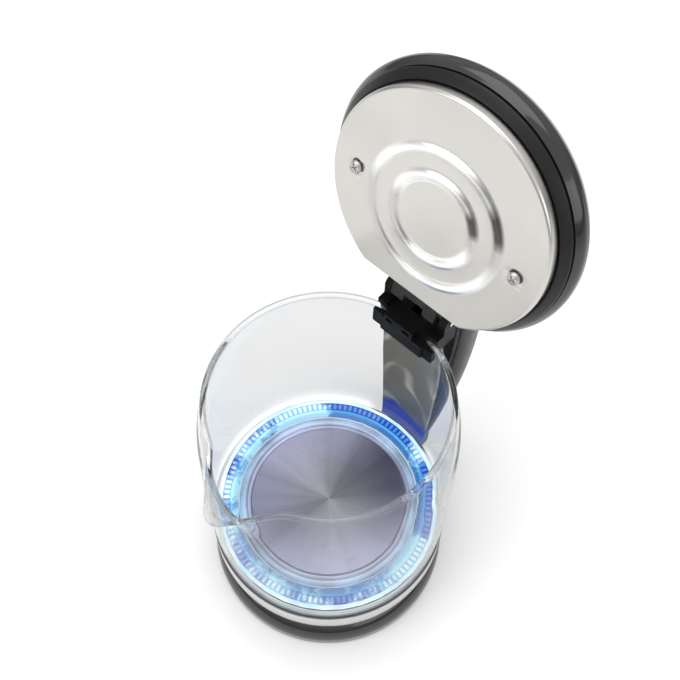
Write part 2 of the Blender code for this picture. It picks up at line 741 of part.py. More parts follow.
def open_lid():
    """Swings the lid's pieces, and the cutters that shape them, about the hinge."""
    pivot = bpy.data.objects.new("lid_pivot", None)
    bpy.context.scene.collection.objects.link(pivot)
    pivot.location = Vector((HINGE_X, 0, HINGE_Z)) * MM
    moved = [COLLECTION.objects[name] for name in LID_NODES]
    for obj in list(moved):
        moved += [m.object for m in obj.modifiers if m.type == "BOOLEAN"]
    for obj in list(moved):
        moved += [m.object for m in obj.modifiers if m.type == "BOOLEAN" and m.object not in moved]
    for obj in moved:
        if obj.parent is None:
            obj.parent = pivot
            obj.location -= pivot.location
    pivot.rotation_euler = (0, math.radians(LID_OPEN), 0)


# ---- button and switch ----
def button():
    cap = box("lid_button", *BUTTON, "matte_black", bevel=1.6, segments=2)
    join(cap, box("release_finger", (75.6, -3.4, 202.6), (90, 3.4, 205.6)))
    coil("button_spring", (94, 0, 198.7), Vector((0, 0, 2.2)), 4.0, turns=3, wire=0.35)


SWITCH_PIN = (82.0, 31.0)
SWITCH_PIN_HOLE = 1.5


def power_switch():
    x, z = SWITCH_PIN
    housing = box("switch_housing", (70, -12, 24.4), (90, 12, 37.9), "matte_black", bevel=1.2)
    cut(
        housing,
        lathe("housing_room", [(0, 40), (74.5, 40), (74.5, 20), (0, 20)], steps=72, ring=False),
        box("lever_room", (76.6, -8.6, 20), (100, 8.6, 35.6)),
        rod("housing_pin_hole", (x, -20, z), (x, 20, z), SWITCH_PIN_HOLE),
    )
    lever = box("power_switch", (78, -8, 28.6), (104, 8, 31.8), "matte_black", bevel=1.2, segments=2)
    join(lever, rod("lever_hub", (x, -8, z), (x, 8, z), 3.2, steps=20))
    cut(lever, rod("lever_pin_hole", (x, -20, z), (x, 20, z), SWITCH_PIN_HOLE))
    rod("switch_pin", (x, -11.4, z), (x, 11.4, z), 1.2, "polished_steel", steps=12)


def main():
    clear_scene()
    power_base()
    base_connector()
    lower_housing()
    socket()
    heater()
    glass_jug()
    strap()
    handle()
    hinge_bracket()
    lid()
    open_lid()
    button()
    power_switch()


main()
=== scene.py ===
"""The kettle's looks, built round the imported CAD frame.

Lengths below are millimetres in the frame's own axes: +Z up, the handle towards +X, the spout towards -X.
Each turned or swept piece is made again here with a fine surface and stands for its CAD node. The lid's
pieces are built shut and swung open about the hinge, which is how the kettle rests.
"""

import json
import math

import bmesh
import bpy
from mathutils import Matrix, Vector


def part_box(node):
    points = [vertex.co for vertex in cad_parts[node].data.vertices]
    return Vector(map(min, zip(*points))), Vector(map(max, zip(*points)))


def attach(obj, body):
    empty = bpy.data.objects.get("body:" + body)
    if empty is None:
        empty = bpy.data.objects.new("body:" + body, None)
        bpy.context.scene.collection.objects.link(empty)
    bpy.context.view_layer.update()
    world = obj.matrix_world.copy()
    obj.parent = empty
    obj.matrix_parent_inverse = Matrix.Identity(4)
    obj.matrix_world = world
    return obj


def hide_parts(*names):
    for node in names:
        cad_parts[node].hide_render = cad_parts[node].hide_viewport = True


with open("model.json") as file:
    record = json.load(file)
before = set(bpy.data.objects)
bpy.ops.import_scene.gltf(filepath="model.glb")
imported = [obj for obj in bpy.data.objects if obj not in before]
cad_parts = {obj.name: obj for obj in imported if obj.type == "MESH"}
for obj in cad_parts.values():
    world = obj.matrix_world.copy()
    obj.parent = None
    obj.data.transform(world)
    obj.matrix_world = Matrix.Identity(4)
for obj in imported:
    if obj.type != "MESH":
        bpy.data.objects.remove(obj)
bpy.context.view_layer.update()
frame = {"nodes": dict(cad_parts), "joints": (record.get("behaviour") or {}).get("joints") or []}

MM = 0.001


def low(node, axis):
    """The low side of a CAD node's box along an axis, in millimetres."""
    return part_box(node)[0][axis] / MM


def high(node, axis):
    """The high side of a CAD node's box along an axis, in millimetres."""
    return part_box(node)[1][axis] / MM


def middle_of(node):
    """The middle of a CAD node's box, in metres."""
    corner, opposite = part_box(node)
    return (corner + opposite) / 2


# ---- driving dimensions, read from the frame ----
JOINTS = {joint["name"]: joint for joint in frame["joints"]}
HINGE_X, _, HINGE_Z = (value / MM for value in JOINTS["lid_hinge"]["pos_m"])
LID_OPEN = -JOINTS["lid_hinge"]["range_deg"][0]
RIM_Z = high("glass_jug", 2)
GLASS_FOOT = low("glass_jug", 2)
PLATE_Z = high("led_lens", 2) - 0.8
BASE_RADIUS = high("base_cover", 1)
BASE_TOP = high("base_cover", 2)
BASE_RIM_Z = low("base_cover", 2)
BAND_RADIUS = high("steel_band", 1)
BAND_LOW, BAND_HIGH = low("steel_band", 2), high("steel_band", 2)
COLLAR_FLOOR, COLLAR_TOP = low("jug_collar", 2), high("jug_collar", 2)
LENS_RADIUS = high("led_lens", 1)
LENS_FLOOR = low("led_lens", 2)
HEATER_RADIUS = high("heater_plate", 1)
HEATER_FLOOR = low("heater_plate", 2)
LID_PLATE_RADIUS = high("lid_plate", 1)
STRAP_TOP = high("handle_strap", 2)
STRAP_FOOT = low("handle_strap", 2)
STRAP_HALF = high("handle_strap", 1)
SPOUT_REACH = -low("glass_jug", 0)

# ---- dimensions of what the CAD boxes don't say ----
RIM_RADIUS = 66.0
GLASS_WALL = 2.6
BEAD = 1.75
LID_PLATE_Z = 196.6
LID_CHORD = 52.6
COVER_CHORD = 52.0
LID_MIDDLE_X = 3.0
LID_SHEET = 0.8
LID_WALL = 2.3
DOME_RADIUS = 70.36
DOME_TOP = 231.36
ARM_HALF = 14.4
BARREL_RADIUS = 4.8
PIN_HOLE = 1.9
SCREW_HOLE = 1.9
LID_SCREW_Y = 47.5
SPOUT_HALF_ANGLE = math.radians(24)
SPOUT_DEPTH = 42.0
SPOUT_DROP = 9.0
SPOUT_EASE = 0.7
SPOUT_FALL = 2.1
TIP_RADIUS = 8.6
TEETH = 120
TOOTH_RING = 64.4
INLET_Z = 10.5

# ---- fineness of shapes, and reach of cutters ----
ROUND_STEPS = 192
ROD_STEPS = 48
CORNER_STEPS = 3
RIDGE_STEPS = 9
MERGE_DISTANCE = 0.0005
TINY = 1e-6
BEYOND = 90.0
LID_CUT_LOW, LID_CUT_HIGH = 150.0, 260.0

# outer face of the glass as (radius, height)
GLASS_OUTER = [
    (70.4, 48), (71.5, 51.5), (72.4, 56), (73.1, 61), (73.4, 68), (73.3, 90), (72.8, 120), (72.1, 146),
    (71.0, 168), (69.5, 180.5), (67.6, 190), (66.35, 196), (66.0, 198.6),
]


# ---- camera ----
CAMERA_AZIMUTH = math.radians(-48.62)
CAMERA_ELEVATION = math.radians(59.65)
CAMERA_ROLL = math.radians(1.32)
CAMERA_DISTANCE = 490.9
CAMERA_RIGHT, CAMERA_RISE = 5.6, 29.9
FOCAL_LENGTH = 51.1
SENSOR = 36.0


def make_camera():
    """Stands where the lens was: above the spout's right side, looking down at the open lid."""
    azimuth, elevation, roll = CAMERA_AZIMUTH, CAMERA_ELEVATION, CAMERA_ROLL
    flat = math.cos(elevation)
    back = Vector((math.sin(azimuth) * flat, -math.cos(azimuth) * flat, math.sin(elevation)))
    level = Vector((math.cos(azimuth), math.sin(azimuth), 0))
    rise = back.cross(level)
    right = level * math.cos(roll) + rise * math.sin(roll)
    up = rise * math.cos(roll) - level * math.sin(roll)
    target = Vector((0, 0, RIM_Z)) + right * CAMERA_RIGHT + up * CAMERA_RISE
    data = bpy.data.cameras.new("photo_camera")
    data.lens = FOCAL_LENGTH
    data.sensor_width = SENSOR
    data.clip_start = 0.01
    camera = bpy.data.objects.new("photo_camera", data)
    bpy.context.scene.collection.objects.link(camera)
    turn = Matrix((right, up, back)).transposed().to_4x4()
    camera.matrix_world = Matrix.Translation((target + back * CAMERA_DISTANCE) * MM) @ turn
    bpy.context.scene.camera = camera


# ---- shape helpers ----
def arc(centre, radius, first, last, count):
    """Points on an arc in the profile plane, from one angle to another in degrees."""
    points = []
    for i in range(count):
        angle = math.radians(first + (last - first) * i / (count - 1))
        points.append((centre[0] + radius * math.cos(angle), centre[1] + radius * math.sin(angle)))
    return points


def through(points, per):
    """A Catmull-Rom curve through 2D or 3D points, with per steps between each two."""
    given = [Vector(p) for p in points]
    padded = [2 * given[0] - given[1], *given, 2 * given[-1] - given[-2]]
    made = []
    for k in range(len(given) - 1):
        a, b, c, d = padded[k : k + 4]
        for i in range(per):
            t = i / per
            square, cube = 2 * a - 5 * b + 4 * c - d, 3 * b - a - 3 * c + d
            made.append(0.5 * (2 * b + (c - a) * t + square * t * t + cube * t**3))
    return [*made, given[-1]]


def rounded(profile, radius):
    """The closed profile with each corner turned into a curve of about that radius."""
    nearly_straight = math.radians(172)
    made = []
    for i, here in enumerate(profile):
        here = Vector(here)
        before, after = Vector(profile[i - 1]) - here, Vector(profile[(i + 1) % len(profile)]) - here
        if min(here.x, before.length, after.length) < TINY or before.angle(after) > nearly_straight:
            made.append(tuple(here))
            continue
        size = min(radius, before.length * 0.45, after.length * 0.45)
        start, end = here + before.normalized() * size, here + after.normalized() * size
        for k in range(CORNER_STEPS + 1):
            t = k / CORNER_STEPS
            made.append(tuple(start * (1 - t) ** 2 + here * 2 * t * (1 - t) + end * t * t))
    return made


def add_mesh(name, mesh):
    obj = bpy.data.objects.new(name, mesh)
    bpy.context.scene.collection.objects.link(obj)
    return obj


def shade(mesh, sharp):
    """Smooth shading, with edges left crisp beyond that angle in degrees."""
    mesh.shade_smooth()
    mesh.set_sharp_from_angle(angle=math.radians(sharp))


def tidy_mesh(mesh, sharp=30.0):
    """Joins points that coincide, turns every face outwards and shades the mesh."""
    work = bmesh.new()
    work.from_mesh(mesh)
    bmesh.ops.remove_doubles(work, verts=work.verts, dist=MERGE_DISTANCE * MM)
    bmesh.ops.recalc_face_normals(work, faces=work.faces)
    work.to_mesh(mesh)
    work.free()
    shade(mesh, sharp)


def from_lists(name, vertices, faces, sharp=30.0):
    mesh = bpy.data.meshes.new(name)
    mesh.from_pydata(vertices, [], faces)
    tidy_mesh(mesh, sharp)
    return add_mesh(name, mesh)


def from_work(name, work):
    """An object made of a bmesh, which is freed."""
    mesh = bpy.data.meshes.new(name)
    work.to_mesh(mesh)
    work.free()
    tidy_mesh(mesh)
    return add_mesh(name, mesh)


def lathe(name, profile, steps=ROUND_STEPS, closed=False, sharp=30.0):
    """Turns a (radius, height) profile about Z. Points on the axis become poles."""
    vertices, rows = [], []
    for radius, height in profile:
        if abs(radius) < TINY:
            rows.append([len(vertices)] * steps)
            vertices.append((0.0, 0.0, height * MM))
            continue
        rows.append(list(range(len(vertices), len(vertices) + steps)))
        for k in range(steps):
            angle = math.tau * k / steps
            vertices.append((radius * math.cos(angle) * MM, radius * math.sin(angle) * MM, height * MM))
    pairs = list(zip(rows, rows[1:]))
    if closed:
        pairs.append((rows[-1], rows[0]))
    faces = []
    for upper, lower in pairs:
        for k in range(steps):
            n = (k + 1) % steps
            corners = list(dict.fromkeys((upper[k], upper[n], lower[n], lower[k])))
            if len(corners) > 2:
                faces.append(corners)
    return from_lists(name, vertices, faces, sharp)


def block(name, corner, opposite, bevel=0.0, segments=3):
    """A box between two corners, in millimetres, with rounded edges."""
    corner, opposite = Vector(corner) * MM, Vector(opposite) * MM
    work = bmesh.new()
    bmesh.ops.create_cube(work, size=1.0)
    bmesh.ops.scale(work, vec=opposite - corner, verts=work.verts)
    bmesh.ops.translate(work, vec=(corner + opposite) / 2, verts=work.verts)
    if bevel:
        bmesh.ops.bevel(
            work, geom=work.edges[:], offset=bevel * MM, segments=segments, profile=0.5, affect="EDGES"
        )
    return from_work(name, work)


def rod(name, start, end, radius):
    """A round bar between two points."""
    start, end = Vector(start) * MM, Vector(end) * MM
    along, radius = end - start, radius * MM
    work = bmesh.new()
    bmesh.ops.create_cone(
        work, cap_ends=True, segments=ROD_STEPS, radius1=radius, radius2=radius, depth=along.length
    )
    place = Matrix.Translation((start + end) / 2) @ along.to_track_quat("Z", "Y").to_matrix().to_4x4()
    bmesh.ops.transform(work, matrix=place, verts=work.verts)
    return from_work(name, work)


def combine(obj, others, operation="DIFFERENCE"):
    """Cuts other objects from this one, or joins them to it, and deletes them."""
    for other in others:
        modifier = obj.modifiers.new(other.name, "BOOLEAN")
        modifier.operation = operation
        modifier.object = other
    bpy.context.view_layer.update()
    graph = bpy.context.evaluated_depsgraph_get()
    mesh = bpy.data.meshes.new_from_object(obj.evaluated_get(graph))
    obj.modifiers.clear()
    obj.data = mesh
    for other in others:
        bpy.data.objects.remove(other)
    tidy_mesh(mesh)
    return obj


def soften(obj, width, segments=2, angle=32.0):
    """Rounds an object's edges, which leaves its mesh as it is until the end."""
    bevel = obj.modifiers.new("soft_edges", "BEVEL")
    bevel.width = width * MM
    bevel.segments = segments
    bevel.limit_method = "ANGLE"
    bevel.angle_limit = math.radians(angle)
    bevel.use_clamp_overlap = True
    bevel.harden_normals = True


def inward_at(path, i):
    """The direction square to a path in the XZ plane, towards the jug."""
    along = (path[min(i + 1, len(path) - 1)] - path[max(i - 1, 0)]).normalized()
    return Vector((0, 1, 0)).cross(along)


def swept(name, path, half_thick, half_wide, sides, power):
    """A bar along a path in the XZ plane, with a superellipse section of that power."""
    vertices, faces = [], []
    for i, place in enumerate(path):
        inward = inward_at(path, i)
        for k in range(sides):
            angle = math.tau * k / sides
            c, s = math.cos(angle), math.sin(angle)
            across = half_thick * math.copysign(abs(c) ** (2 / power), c)
            sideways = half_wide * math.copysign(abs(s) ** (2 / power), s)
            vertices.append((place + inward * across + Vector((0, sideways, 0))) * MM)
    for i in range(len(path) - 1):
        for k in range(sides):
            n = (k + 1) % sides
            faces.append((i * sides + k, i * sides + n, (i + 1) * sides + n, (i + 1) * sides + k))
    faces.append(list(range(sides)))
    faces.append([(len(path) - 1) * sides + k for k in range(sides)])
    return from_lists(name, vertices, faces)


def paint(mesh, material):
    mesh.materials.clear()
    mesh.materials.append(MATERIALS[material])


def finish_piece(obj, body, material, slot, *nodes):
    """Gives a piece its material and body, and hides the CAD nodes it stands for. The slot is not used."""
    paint(obj.data, material)
    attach(obj, body)
    if nodes:
        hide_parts(*nodes)


def swing_open(obj):
    """Turns a piece that was built shut about the hinge to where the lid rests."""
    pivot = Vector((HINGE_X, 0, HINGE_Z)) * MM
    turn = Matrix.Rotation(math.radians(LID_OPEN), 4, "Y")
    obj.data.transform(Matrix.Translation(pivot) @ turn @ Matrix.Translation(-pivot))


# ---- material helpers ----
BLACK, WHITE = (0.0, 0.0, 0.0), (1.0, 1.0, 1.0)


class Nodes:
    """A new material's node tree, with short ways to add and join nodes."""

    def __init__(self, name, colour, roughness, metallic=0.0):
        self.material = bpy.data.materials.new(name)
        self.material.use_nodes = True
        self.tree = self.material.node_tree
        self.shader = self.tree.nodes["Principled BSDF"]
        self.set("Base Color", (*colour, 1.0))
        self.set("Roughness", roughness)
        self.set("Metallic", metallic)
        self.place = self.add("ShaderNodeTexCoord").outputs["Object"]

    def set(self, socket, value):
        self.shader.inputs[socket].default_value = value

    def add(self, kind, **values):
        node = self.tree.nodes.new(kind)
        for key, value in values.items():
            setattr(node, key, value)
        return node

    def link(self, output, target):
        self.tree.links.new(output, target)

    def feed(self, output, socket):
        self.link(output, self.shader.inputs[socket])

    def maths(self, operation, first, second=None, clamp=False):
        """Arithmetic on one or two values, each a number or another node's output."""
        node = self.add("ShaderNodeMath", operation=operation, use_clamp=clamp)
        for socket, value in zip(node.inputs, (first, second)):
            if value is None:
                continue
            if isinstance(value, (int, float)):
                socket.default_value = value
            else:
                self.link(value, socket)
        return node.outputs[0]

    def noise(self, scale, detail=3.0, stretch=(1, 1, 1), place=None, rough=0.5):
        """Noise from 0 to 1, in the piece's own space unless a place is given."""
        mapping = self.add("ShaderNodeMapping")
        mapping.inputs["Scale"].default_value = stretch
        self.link(place or self.place, mapping.inputs["Vector"])
        node = self.add("ShaderNodeTexNoise")
        node.inputs["Scale"].default_value = scale
        node.inputs["Detail"].default_value = detail
        node.inputs["Roughness"].default_value = rough
        self.link(mapping.outputs[0], node.inputs["Vector"])
        return node.outputs["Fac"]

    def ramp(self, factor, stops):
        """A colour looked up along (position, colour) stops."""
        node = self.add("ShaderNodeValToRGB")
        elements = node.color_ramp.elements
        while len(elements) < len(stops):
            elements.new(0.5)
        for element, (position, colour) in zip(elements, stops):
            element.position = position
            element.color = (*colour, 1.0)
        self.link(factor, node.inputs["Fac"])
        return node.outputs["Color"]

    def span(self, factor, low_out, high_out, low_in, high_in):
        """Maps a stretch of inputs onto a stretch of outputs, and holds the ends."""
        node = self.add("ShaderNodeMapRange")
        for socket, value in zip(node.inputs[1:5], (low_in, high_in, low_out, high_out)):
            socket.default_value = value
        self.link(factor, node.inputs[0])
        return node.outputs[0]

    def uneven(self, noise, low_out, high_out):
        """Spreads the middle of a noise, where its values lie, over a stretch of outputs."""
        return self.span(noise, low_out, high_out, 0.3, 0.7)

    def mix(self, factor, first, second):
        """A blend of two colours, each a tuple or another node's output."""
        node = self.add("ShaderNodeMix", data_type="RGBA")
        for socket, value in zip((node.inputs[0], node.inputs[6], node.inputs[7]), (factor, first, second)):
            if isinstance(value, tuple):
                socket.default_value = (*value, 1.0)
            else:
                self.link(value, socket)
        return node.outputs[2]

    def bump(self, height, distance, strength=1.0):
        """Fine relief, with its depth in millimetres."""
        node = self.add("ShaderNodeBump")
        node.inputs["Strength"].default_value = strength
        node.inputs["Distance"].default_value = distance * MM
        self.link(height, node.inputs["Height"])
        self.feed(node.outputs[0], "Normal")

    def polar(self, middle_x=0.0):
        """Distance from an upright axis, the angle round it and the height, in metres and radians."""
        split = self.add("ShaderNodeSeparateXYZ")
        self.link(self.place, split.inputs[0])
        x = self.maths("SUBTRACT", split.outputs[0], middle_x * MM)
        y, height = split.outputs[1], split.outputs[2]
        squares = self.maths("ADD", self.maths("MULTIPLY", x, x), self.maths("MULTIPLY", y, y))
        return self.maths("SQRT", squares), self.maths("ARCTAN2", y, x), height

    def plane(self, x, y):
        """A place for a texture, made of two values."""
        node = self.add("ShaderNodeCombineXYZ")
        self.link(x, node.inputs[0])
        self.link(y, node.inputs[1])
        return node.outputs[0]

    def turned(self, amount):
        """Highlights drawn out across marks that run round the kettle's axis."""
        self.set("Anisotropic", amount)
        tangent = self.add("ShaderNodeTangent", direction_type="RADIAL", axis="Z")
        self.feed(tangent.outputs[0], "Tangent")


def plastic(name, colour, roughness, grain, depth, coat=0.0, specular=0.5):
    """Moulded plastic: a fine spark texture, uneven gloss and slight mottling of the colour."""
    made = Nodes(name, colour, roughness)
    fine = made.noise(grain, 4.0)
    broad = made.noise(38.0)
    darker = tuple(value * 0.78 for value in colour)
    lighter = tuple(min(value * 1.22 + 0.002, 1.0) for value in colour)
    made.feed(made.mix(broad, darker, lighter), "Base Color")
    made.feed(made.uneven(made.noise(160.0, 4.0), roughness * 0.85, roughness * 1.2), "Roughness")
    made.bump(fine, depth)
    made.set("Specular IOR Level", specular)
    made.set("Coat Weight", coat)
    made.set("Coat Roughness", 0.06)
    return made.material


def metal(name, colour, roughness, grain, depth, stretch=(1, 1, 1)):
    """Sheet or turned metal with fine marks along one direction and faint smudges."""
    made = Nodes(name, colour, roughness, 1.0)
    marks = made.noise(grain, 5.0, stretch)
    smudge = made.noise(30.0)
    dull = tuple(value * 0.9 for value in colour)
    bright = tuple(min(value * 1.06, 1.0) for value in colour)
    made.feed(made.mix(marks, dull, bright), "Base Color")
    made.feed(made.uneven(smudge, roughness * 0.8, roughness * 1.25), "Roughness")
    made.bump(marks, depth)
    return made.material


# tint of the wall and of the bead at its rim, from faced squarely (0) to seen edge on (1)
WALL_TINT = ((0.0, 0.86), (0.5, 0.8), (0.84, 0.79), (0.95, 0.77), (1.0, 0.7))
RIM_TINT = ((0.0, 0.96), (0.15, 0.92), (0.35, 0.7), (0.6, 0.45), (1.0, 0.25))
GLASS_INDEX = 1.02
COAT_INDEX = 1.45


def glass_material(name, edge_tint, coat):
    """Clear glass: it barely bends what is behind it, shines, and is darker where it is seen edge on."""
    made = Nodes(name, (0.93, 0.93, 0.93), 0.0)
    made.set("Transmission Weight", 1.0)
    made.set("IOR", GLASS_INDEX)
    made.set("Coat Weight", coat)
    made.set("Coat IOR", COAT_INDEX)
    made.feed(made.span(made.noise(45.0, 2.0), 0.1, 0.16, 0.4, 0.7), "Coat Roughness")
    edge = made.add("ShaderNodeLayerWeight")
    edge.inputs["Blend"].default_value = 0.5
    stops = [(place, (value, value, value * 0.995)) for place, value in edge_tint]
    made.feed(made.ramp(edge.outputs["Facing"], stops), "Base Color")
    _, angle, height = made.polar()
    # painted glow: the light ring's pale blue light on the wall above it, set as emission, strongest near
    # the foot and off in front of the strip
    broad_glow = made.span(height, 0.12, 0.0, 62 * MM, 74 * MM)
    foot_glow = made.span(height, 0.3, 0.0, 57 * MM, 65 * MM)
    off_strip = made.span(made.maths("COSINE", angle), 1.0, 0.1, 0.93, 0.96)
    painted_ring_glow = made.maths("ADD", broad_glow, foot_glow)
    painted_ring_glow = made.maths("MULTIPLY", painted_ring_glow, made.span(made.noise(60.0), 0.5, 1.5, 0.0, 1.0))
    painted_ring_glow = made.maths("MULTIPLY", painted_ring_glow, off_strip)
    made.set("Emission Color", (0.88, 0.96, 1.0, 1.0))
    made.feed(painted_ring_glow, "Emission Strength")
    made.bump(made.noise(26.0, 1.0, (1, 1, 0.45)), 0.35, 0.5)
    return made.material


def lit_seal():
    """The clear seal outside the light guide, which glows pale blue with it."""
    made = Nodes("lit_seal", (0.2, 0.22, 0.24), 0.3)
    patches = made.noise(70.0)
    blues = [(0.3, (0.3, 0.66, 0.88)), (0.5, (0.6, 0.86, 0.94)), (0.7, (0.85, 0.98, 1.0))]
    made.feed(made.ramp(patches, blues), "Emission Color")
    made.set("Emission Strength", 1.05)
    made.bump(patches, 0.04)
    return made.material


# where the plate's painted highlight wedges point, and its painted blue glow of the light ring from the
# middle of its margin to its edge
PAINTED_FAN_MIDDLE = math.radians(64)
PAINTED_PLATE_GLOW = [
    (0.0, BLACK), (0.25, (0.01, 0.01, 0.02)), (0.45, (0.16, 0.2, 0.27)), (0.8, (0.28, 0.42, 0.55)),
    (1.0, (0.2, 0.42, 0.62)),
]


def brushed_plate():
    """The heating plate, turned on a lathe with concentric marks, with painted highlight wedges where such
    marks would fan light out, and painted blue light of the light ring towards its edge.
    """
    made = Nodes("turned_steel", (0.3, 0.3, 0.34), 0.34, 1.0)
    radius, angle, _ = made.polar()
    rings = made.plane(radius, made.maths("MULTIPLY", angle, 0.0016))
    marks = made.noise(2600.0, 4.0, place=rings, rough=0.65)
    # painted highlights: bright and dark wedges round the middle, broken up by noise
    wedges = made.plane(made.maths("SINE", angle), made.maths("COSINE", angle))
    painted_fan_noise = made.noise(3.4, 4.0, place=wedges)
    turn = made.maths("MULTIPLY", made.maths("SUBTRACT", angle, PAINTED_FAN_MIDDLE), 2.0)
    painted_fans = made.span(made.maths("COSINE", turn), 0.0, 1.0, -1.0, 1.0)
    painted_fans = made.maths("ADD", painted_fans, made.span(painted_fan_noise, -0.22, 0.22, 0.25, 0.75), clamp=True)
    middle = made.mix(painted_fans, (0.115, 0.117, 0.132), (0.245, 0.25, 0.275))
    # painted blue light of the light ring: the wedges turn lavender towards the edge
    edge = made.mix(painted_fans, (0.14, 0.148, 0.225), (0.33, 0.34, 0.47))
    base = made.mix(made.span(radius, 0.0, 1.0, 12 * MM, 46 * MM), middle, edge)
    made.feed(made.mix(made.uneven(marks, 0.0, 0.3), base, (0.15, 0.15, 0.18)), "Base Color")
    made.feed(made.uneven(marks, 0.28, 0.44), "Roughness")
    made.turned(0.7)
    # painted glow of the light ring's blue on the plate's margin
    made.feed(made.ramp(made.span(radius, 0.0, 1.0, 46 * MM, 56 * MM), PAINTED_PLATE_GLOW), "Emission Color")
    made.feed(made.uneven(made.noise(45.0), 0.35, 1.3), "Emission Strength")
    made.bump(marks, 0.012)
    return made.material


def banded_steel():
    """The jug's steel band, brushed round its circumference."""
    made = Nodes("brushed_band", (0.62, 0.62, 0.62), 0.28, 1.0)
    marks = made.noise(900.0, 4.0, (0.02, 0.02, 1.6))
    made.feed(made.mix(marks, (0.5, 0.5, 0.5), (0.72, 0.72, 0.71)), "Base Color")
    made.feed(made.uneven(marks, 0.2, 0.36), "Roughness")
    made.turned(0.6)
    made.bump(marks, 0.01)
    return made.material


# where painted highlights lie on the lid sheet's rings, from 19 to 42 mm out, and the angle of their
# painted dark patch
PAINTED_RING_GLINTS = [
    (0.0, BLACK), (0.1, WHITE), (0.24, WHITE), (0.33, BLACK), (0.61, BLACK), (0.7, WHITE), (0.84, WHITE),
    (0.92, BLACK),
]
PAINTED_DARK_PATCH = math.radians(119)


def satin_sheet():
    """The lid's pressed inner sheet: satin steel, with painted highlights and a painted dark patch on its
    rounded rings.
    """
    made = Nodes("satin_sheet", (0.62, 0.605, 0.58), 0.24, 1.0)
    turn = made.add("ShaderNodeVectorRotate", rotation_type="AXIS_ANGLE")
    turn.inputs["Center"].default_value = (HINGE_X * MM, 0.0, HINGE_Z * MM)
    turn.inputs["Axis"].default_value = (0.0, 1.0, 0.0)
    turn.inputs["Angle"].default_value = -math.radians(LID_OPEN)
    made.link(made.place, turn.inputs["Vector"])
    made.place = turn.outputs[0]
    radius, angle, _ = made.polar(LID_MIDDLE_X)
    grain = made.noise(900.0)
    stains = made.noise(22.0)
    flat = made.mix(made.span(stains, 0.0, 1.0, 0.35, 0.7), (0.59, 0.575, 0.548), (0.54, 0.527, 0.5))
    # painted light on the rings: bright above and below, with a painted dark patch to one side
    rings = made.ramp(made.span(radius, 0.0, 1.0, 19 * MM, 42 * MM), PAINTED_RING_GLINTS)
    around = made.maths("COSINE", made.maths("ADD", angle, PAINTED_DARK_PATCH))
    dark = made.span(around, 0.0, 1.0, 0.945, 0.99)
    lit = made.span(made.maths("MULTIPLY", around, around), 1.0, 0.0, 0.35, 0.75)
    painted_ring_light = made.mix(lit, (0.52, 0.51, 0.49), (0.98, 0.97, 0.95))
    painted_ring_light = made.mix(dark, painted_ring_light, (0.09, 0.085, 0.08))
    made.feed(made.mix(rings, flat, painted_ring_light), "Base Color")
    made.feed(made.uneven(grain, 0.22, 0.27), "Roughness")
    return made.material


# the white patches round the light guide: how many, and how far they are turned in radians
LAMP_PATCHES = 5.0
LAMP_TURN = 0.17

# the light guide's glow: (radius, dim colour, bright colour) from its inner lip out
GUIDE_GLOW = [
    (57.4, (0.05, 0.16, 0.45), (0.36, 0.62, 0.82)), (59.2, (0.01, 0.15, 0.5), (0.26, 0.7, 0.92)),
    (60.5, (0.05, 0.32, 0.7), (0.5, 0.86, 0.98)), (61.6, (0.07, 0.38, 0.75), (0.58, 0.93, 0.98)),
    (62.5, (0.0, 0.04, 0.42), (0.14, 0.6, 0.95)), (65.8, (0.0, 0.03, 0.38), (0.2, 0.64, 0.95)),
    (67.0, (0.0, 0.05, 0.5), (0.35, 0.72, 0.95)),
]


def light_material(name, tooth):
    """The lit guide under the glass: blue with white-hot patches over the lamps, and paler teeth."""
    made = Nodes(name, (0.02, 0.03, 0.05), 0.15)
    radius, angle, _ = made.polar()
    lamps = made.maths("COSINE", made.maths("MULTIPLY", made.maths("ADD", angle, LAMP_TURN), LAMP_PATCHES))
    sparkle = made.noise(150.0, 4.0, rough=0.7)
    broad = made.noise(26.0, 1.5)
    heat = made.maths("ADD", made.maths("MULTIPLY", lamps, 0.32), made.span(broad, -0.75, 1.5, 0.35, 0.65))
    hot = made.maths("ADD", heat, made.span(sparkle, -0.5, 0.55, 0.38, 0.62), clamp=True)
    if tooth:
        glow = made.mix(hot, (0.05, 0.26, 0.75), (0.92, 1.0, 1.0))
    else:
        first, last = GUIDE_GLOW[0][0], GUIDE_GLOW[-1][0]
        across = made.span(radius, 0.0, 1.0, first * MM, last * MM)
        shares = [(r - first) / (last - first) for r, _, _ in GUIDE_GLOW]
        dim = made.ramp(across, [(share, stop[1]) for share, stop in zip(shares, GUIDE_GLOW)])
        bright = made.ramp(across, [(share, stop[2]) for share, stop in zip(shares, GUIDE_GLOW)])
        glow = made.mix(hot, dim, bright)
    made.feed(glow, "Emission Color")
    made.set("Emission Strength", 1.0)
    made.bump(sparkle, 0.05)
    return made.material


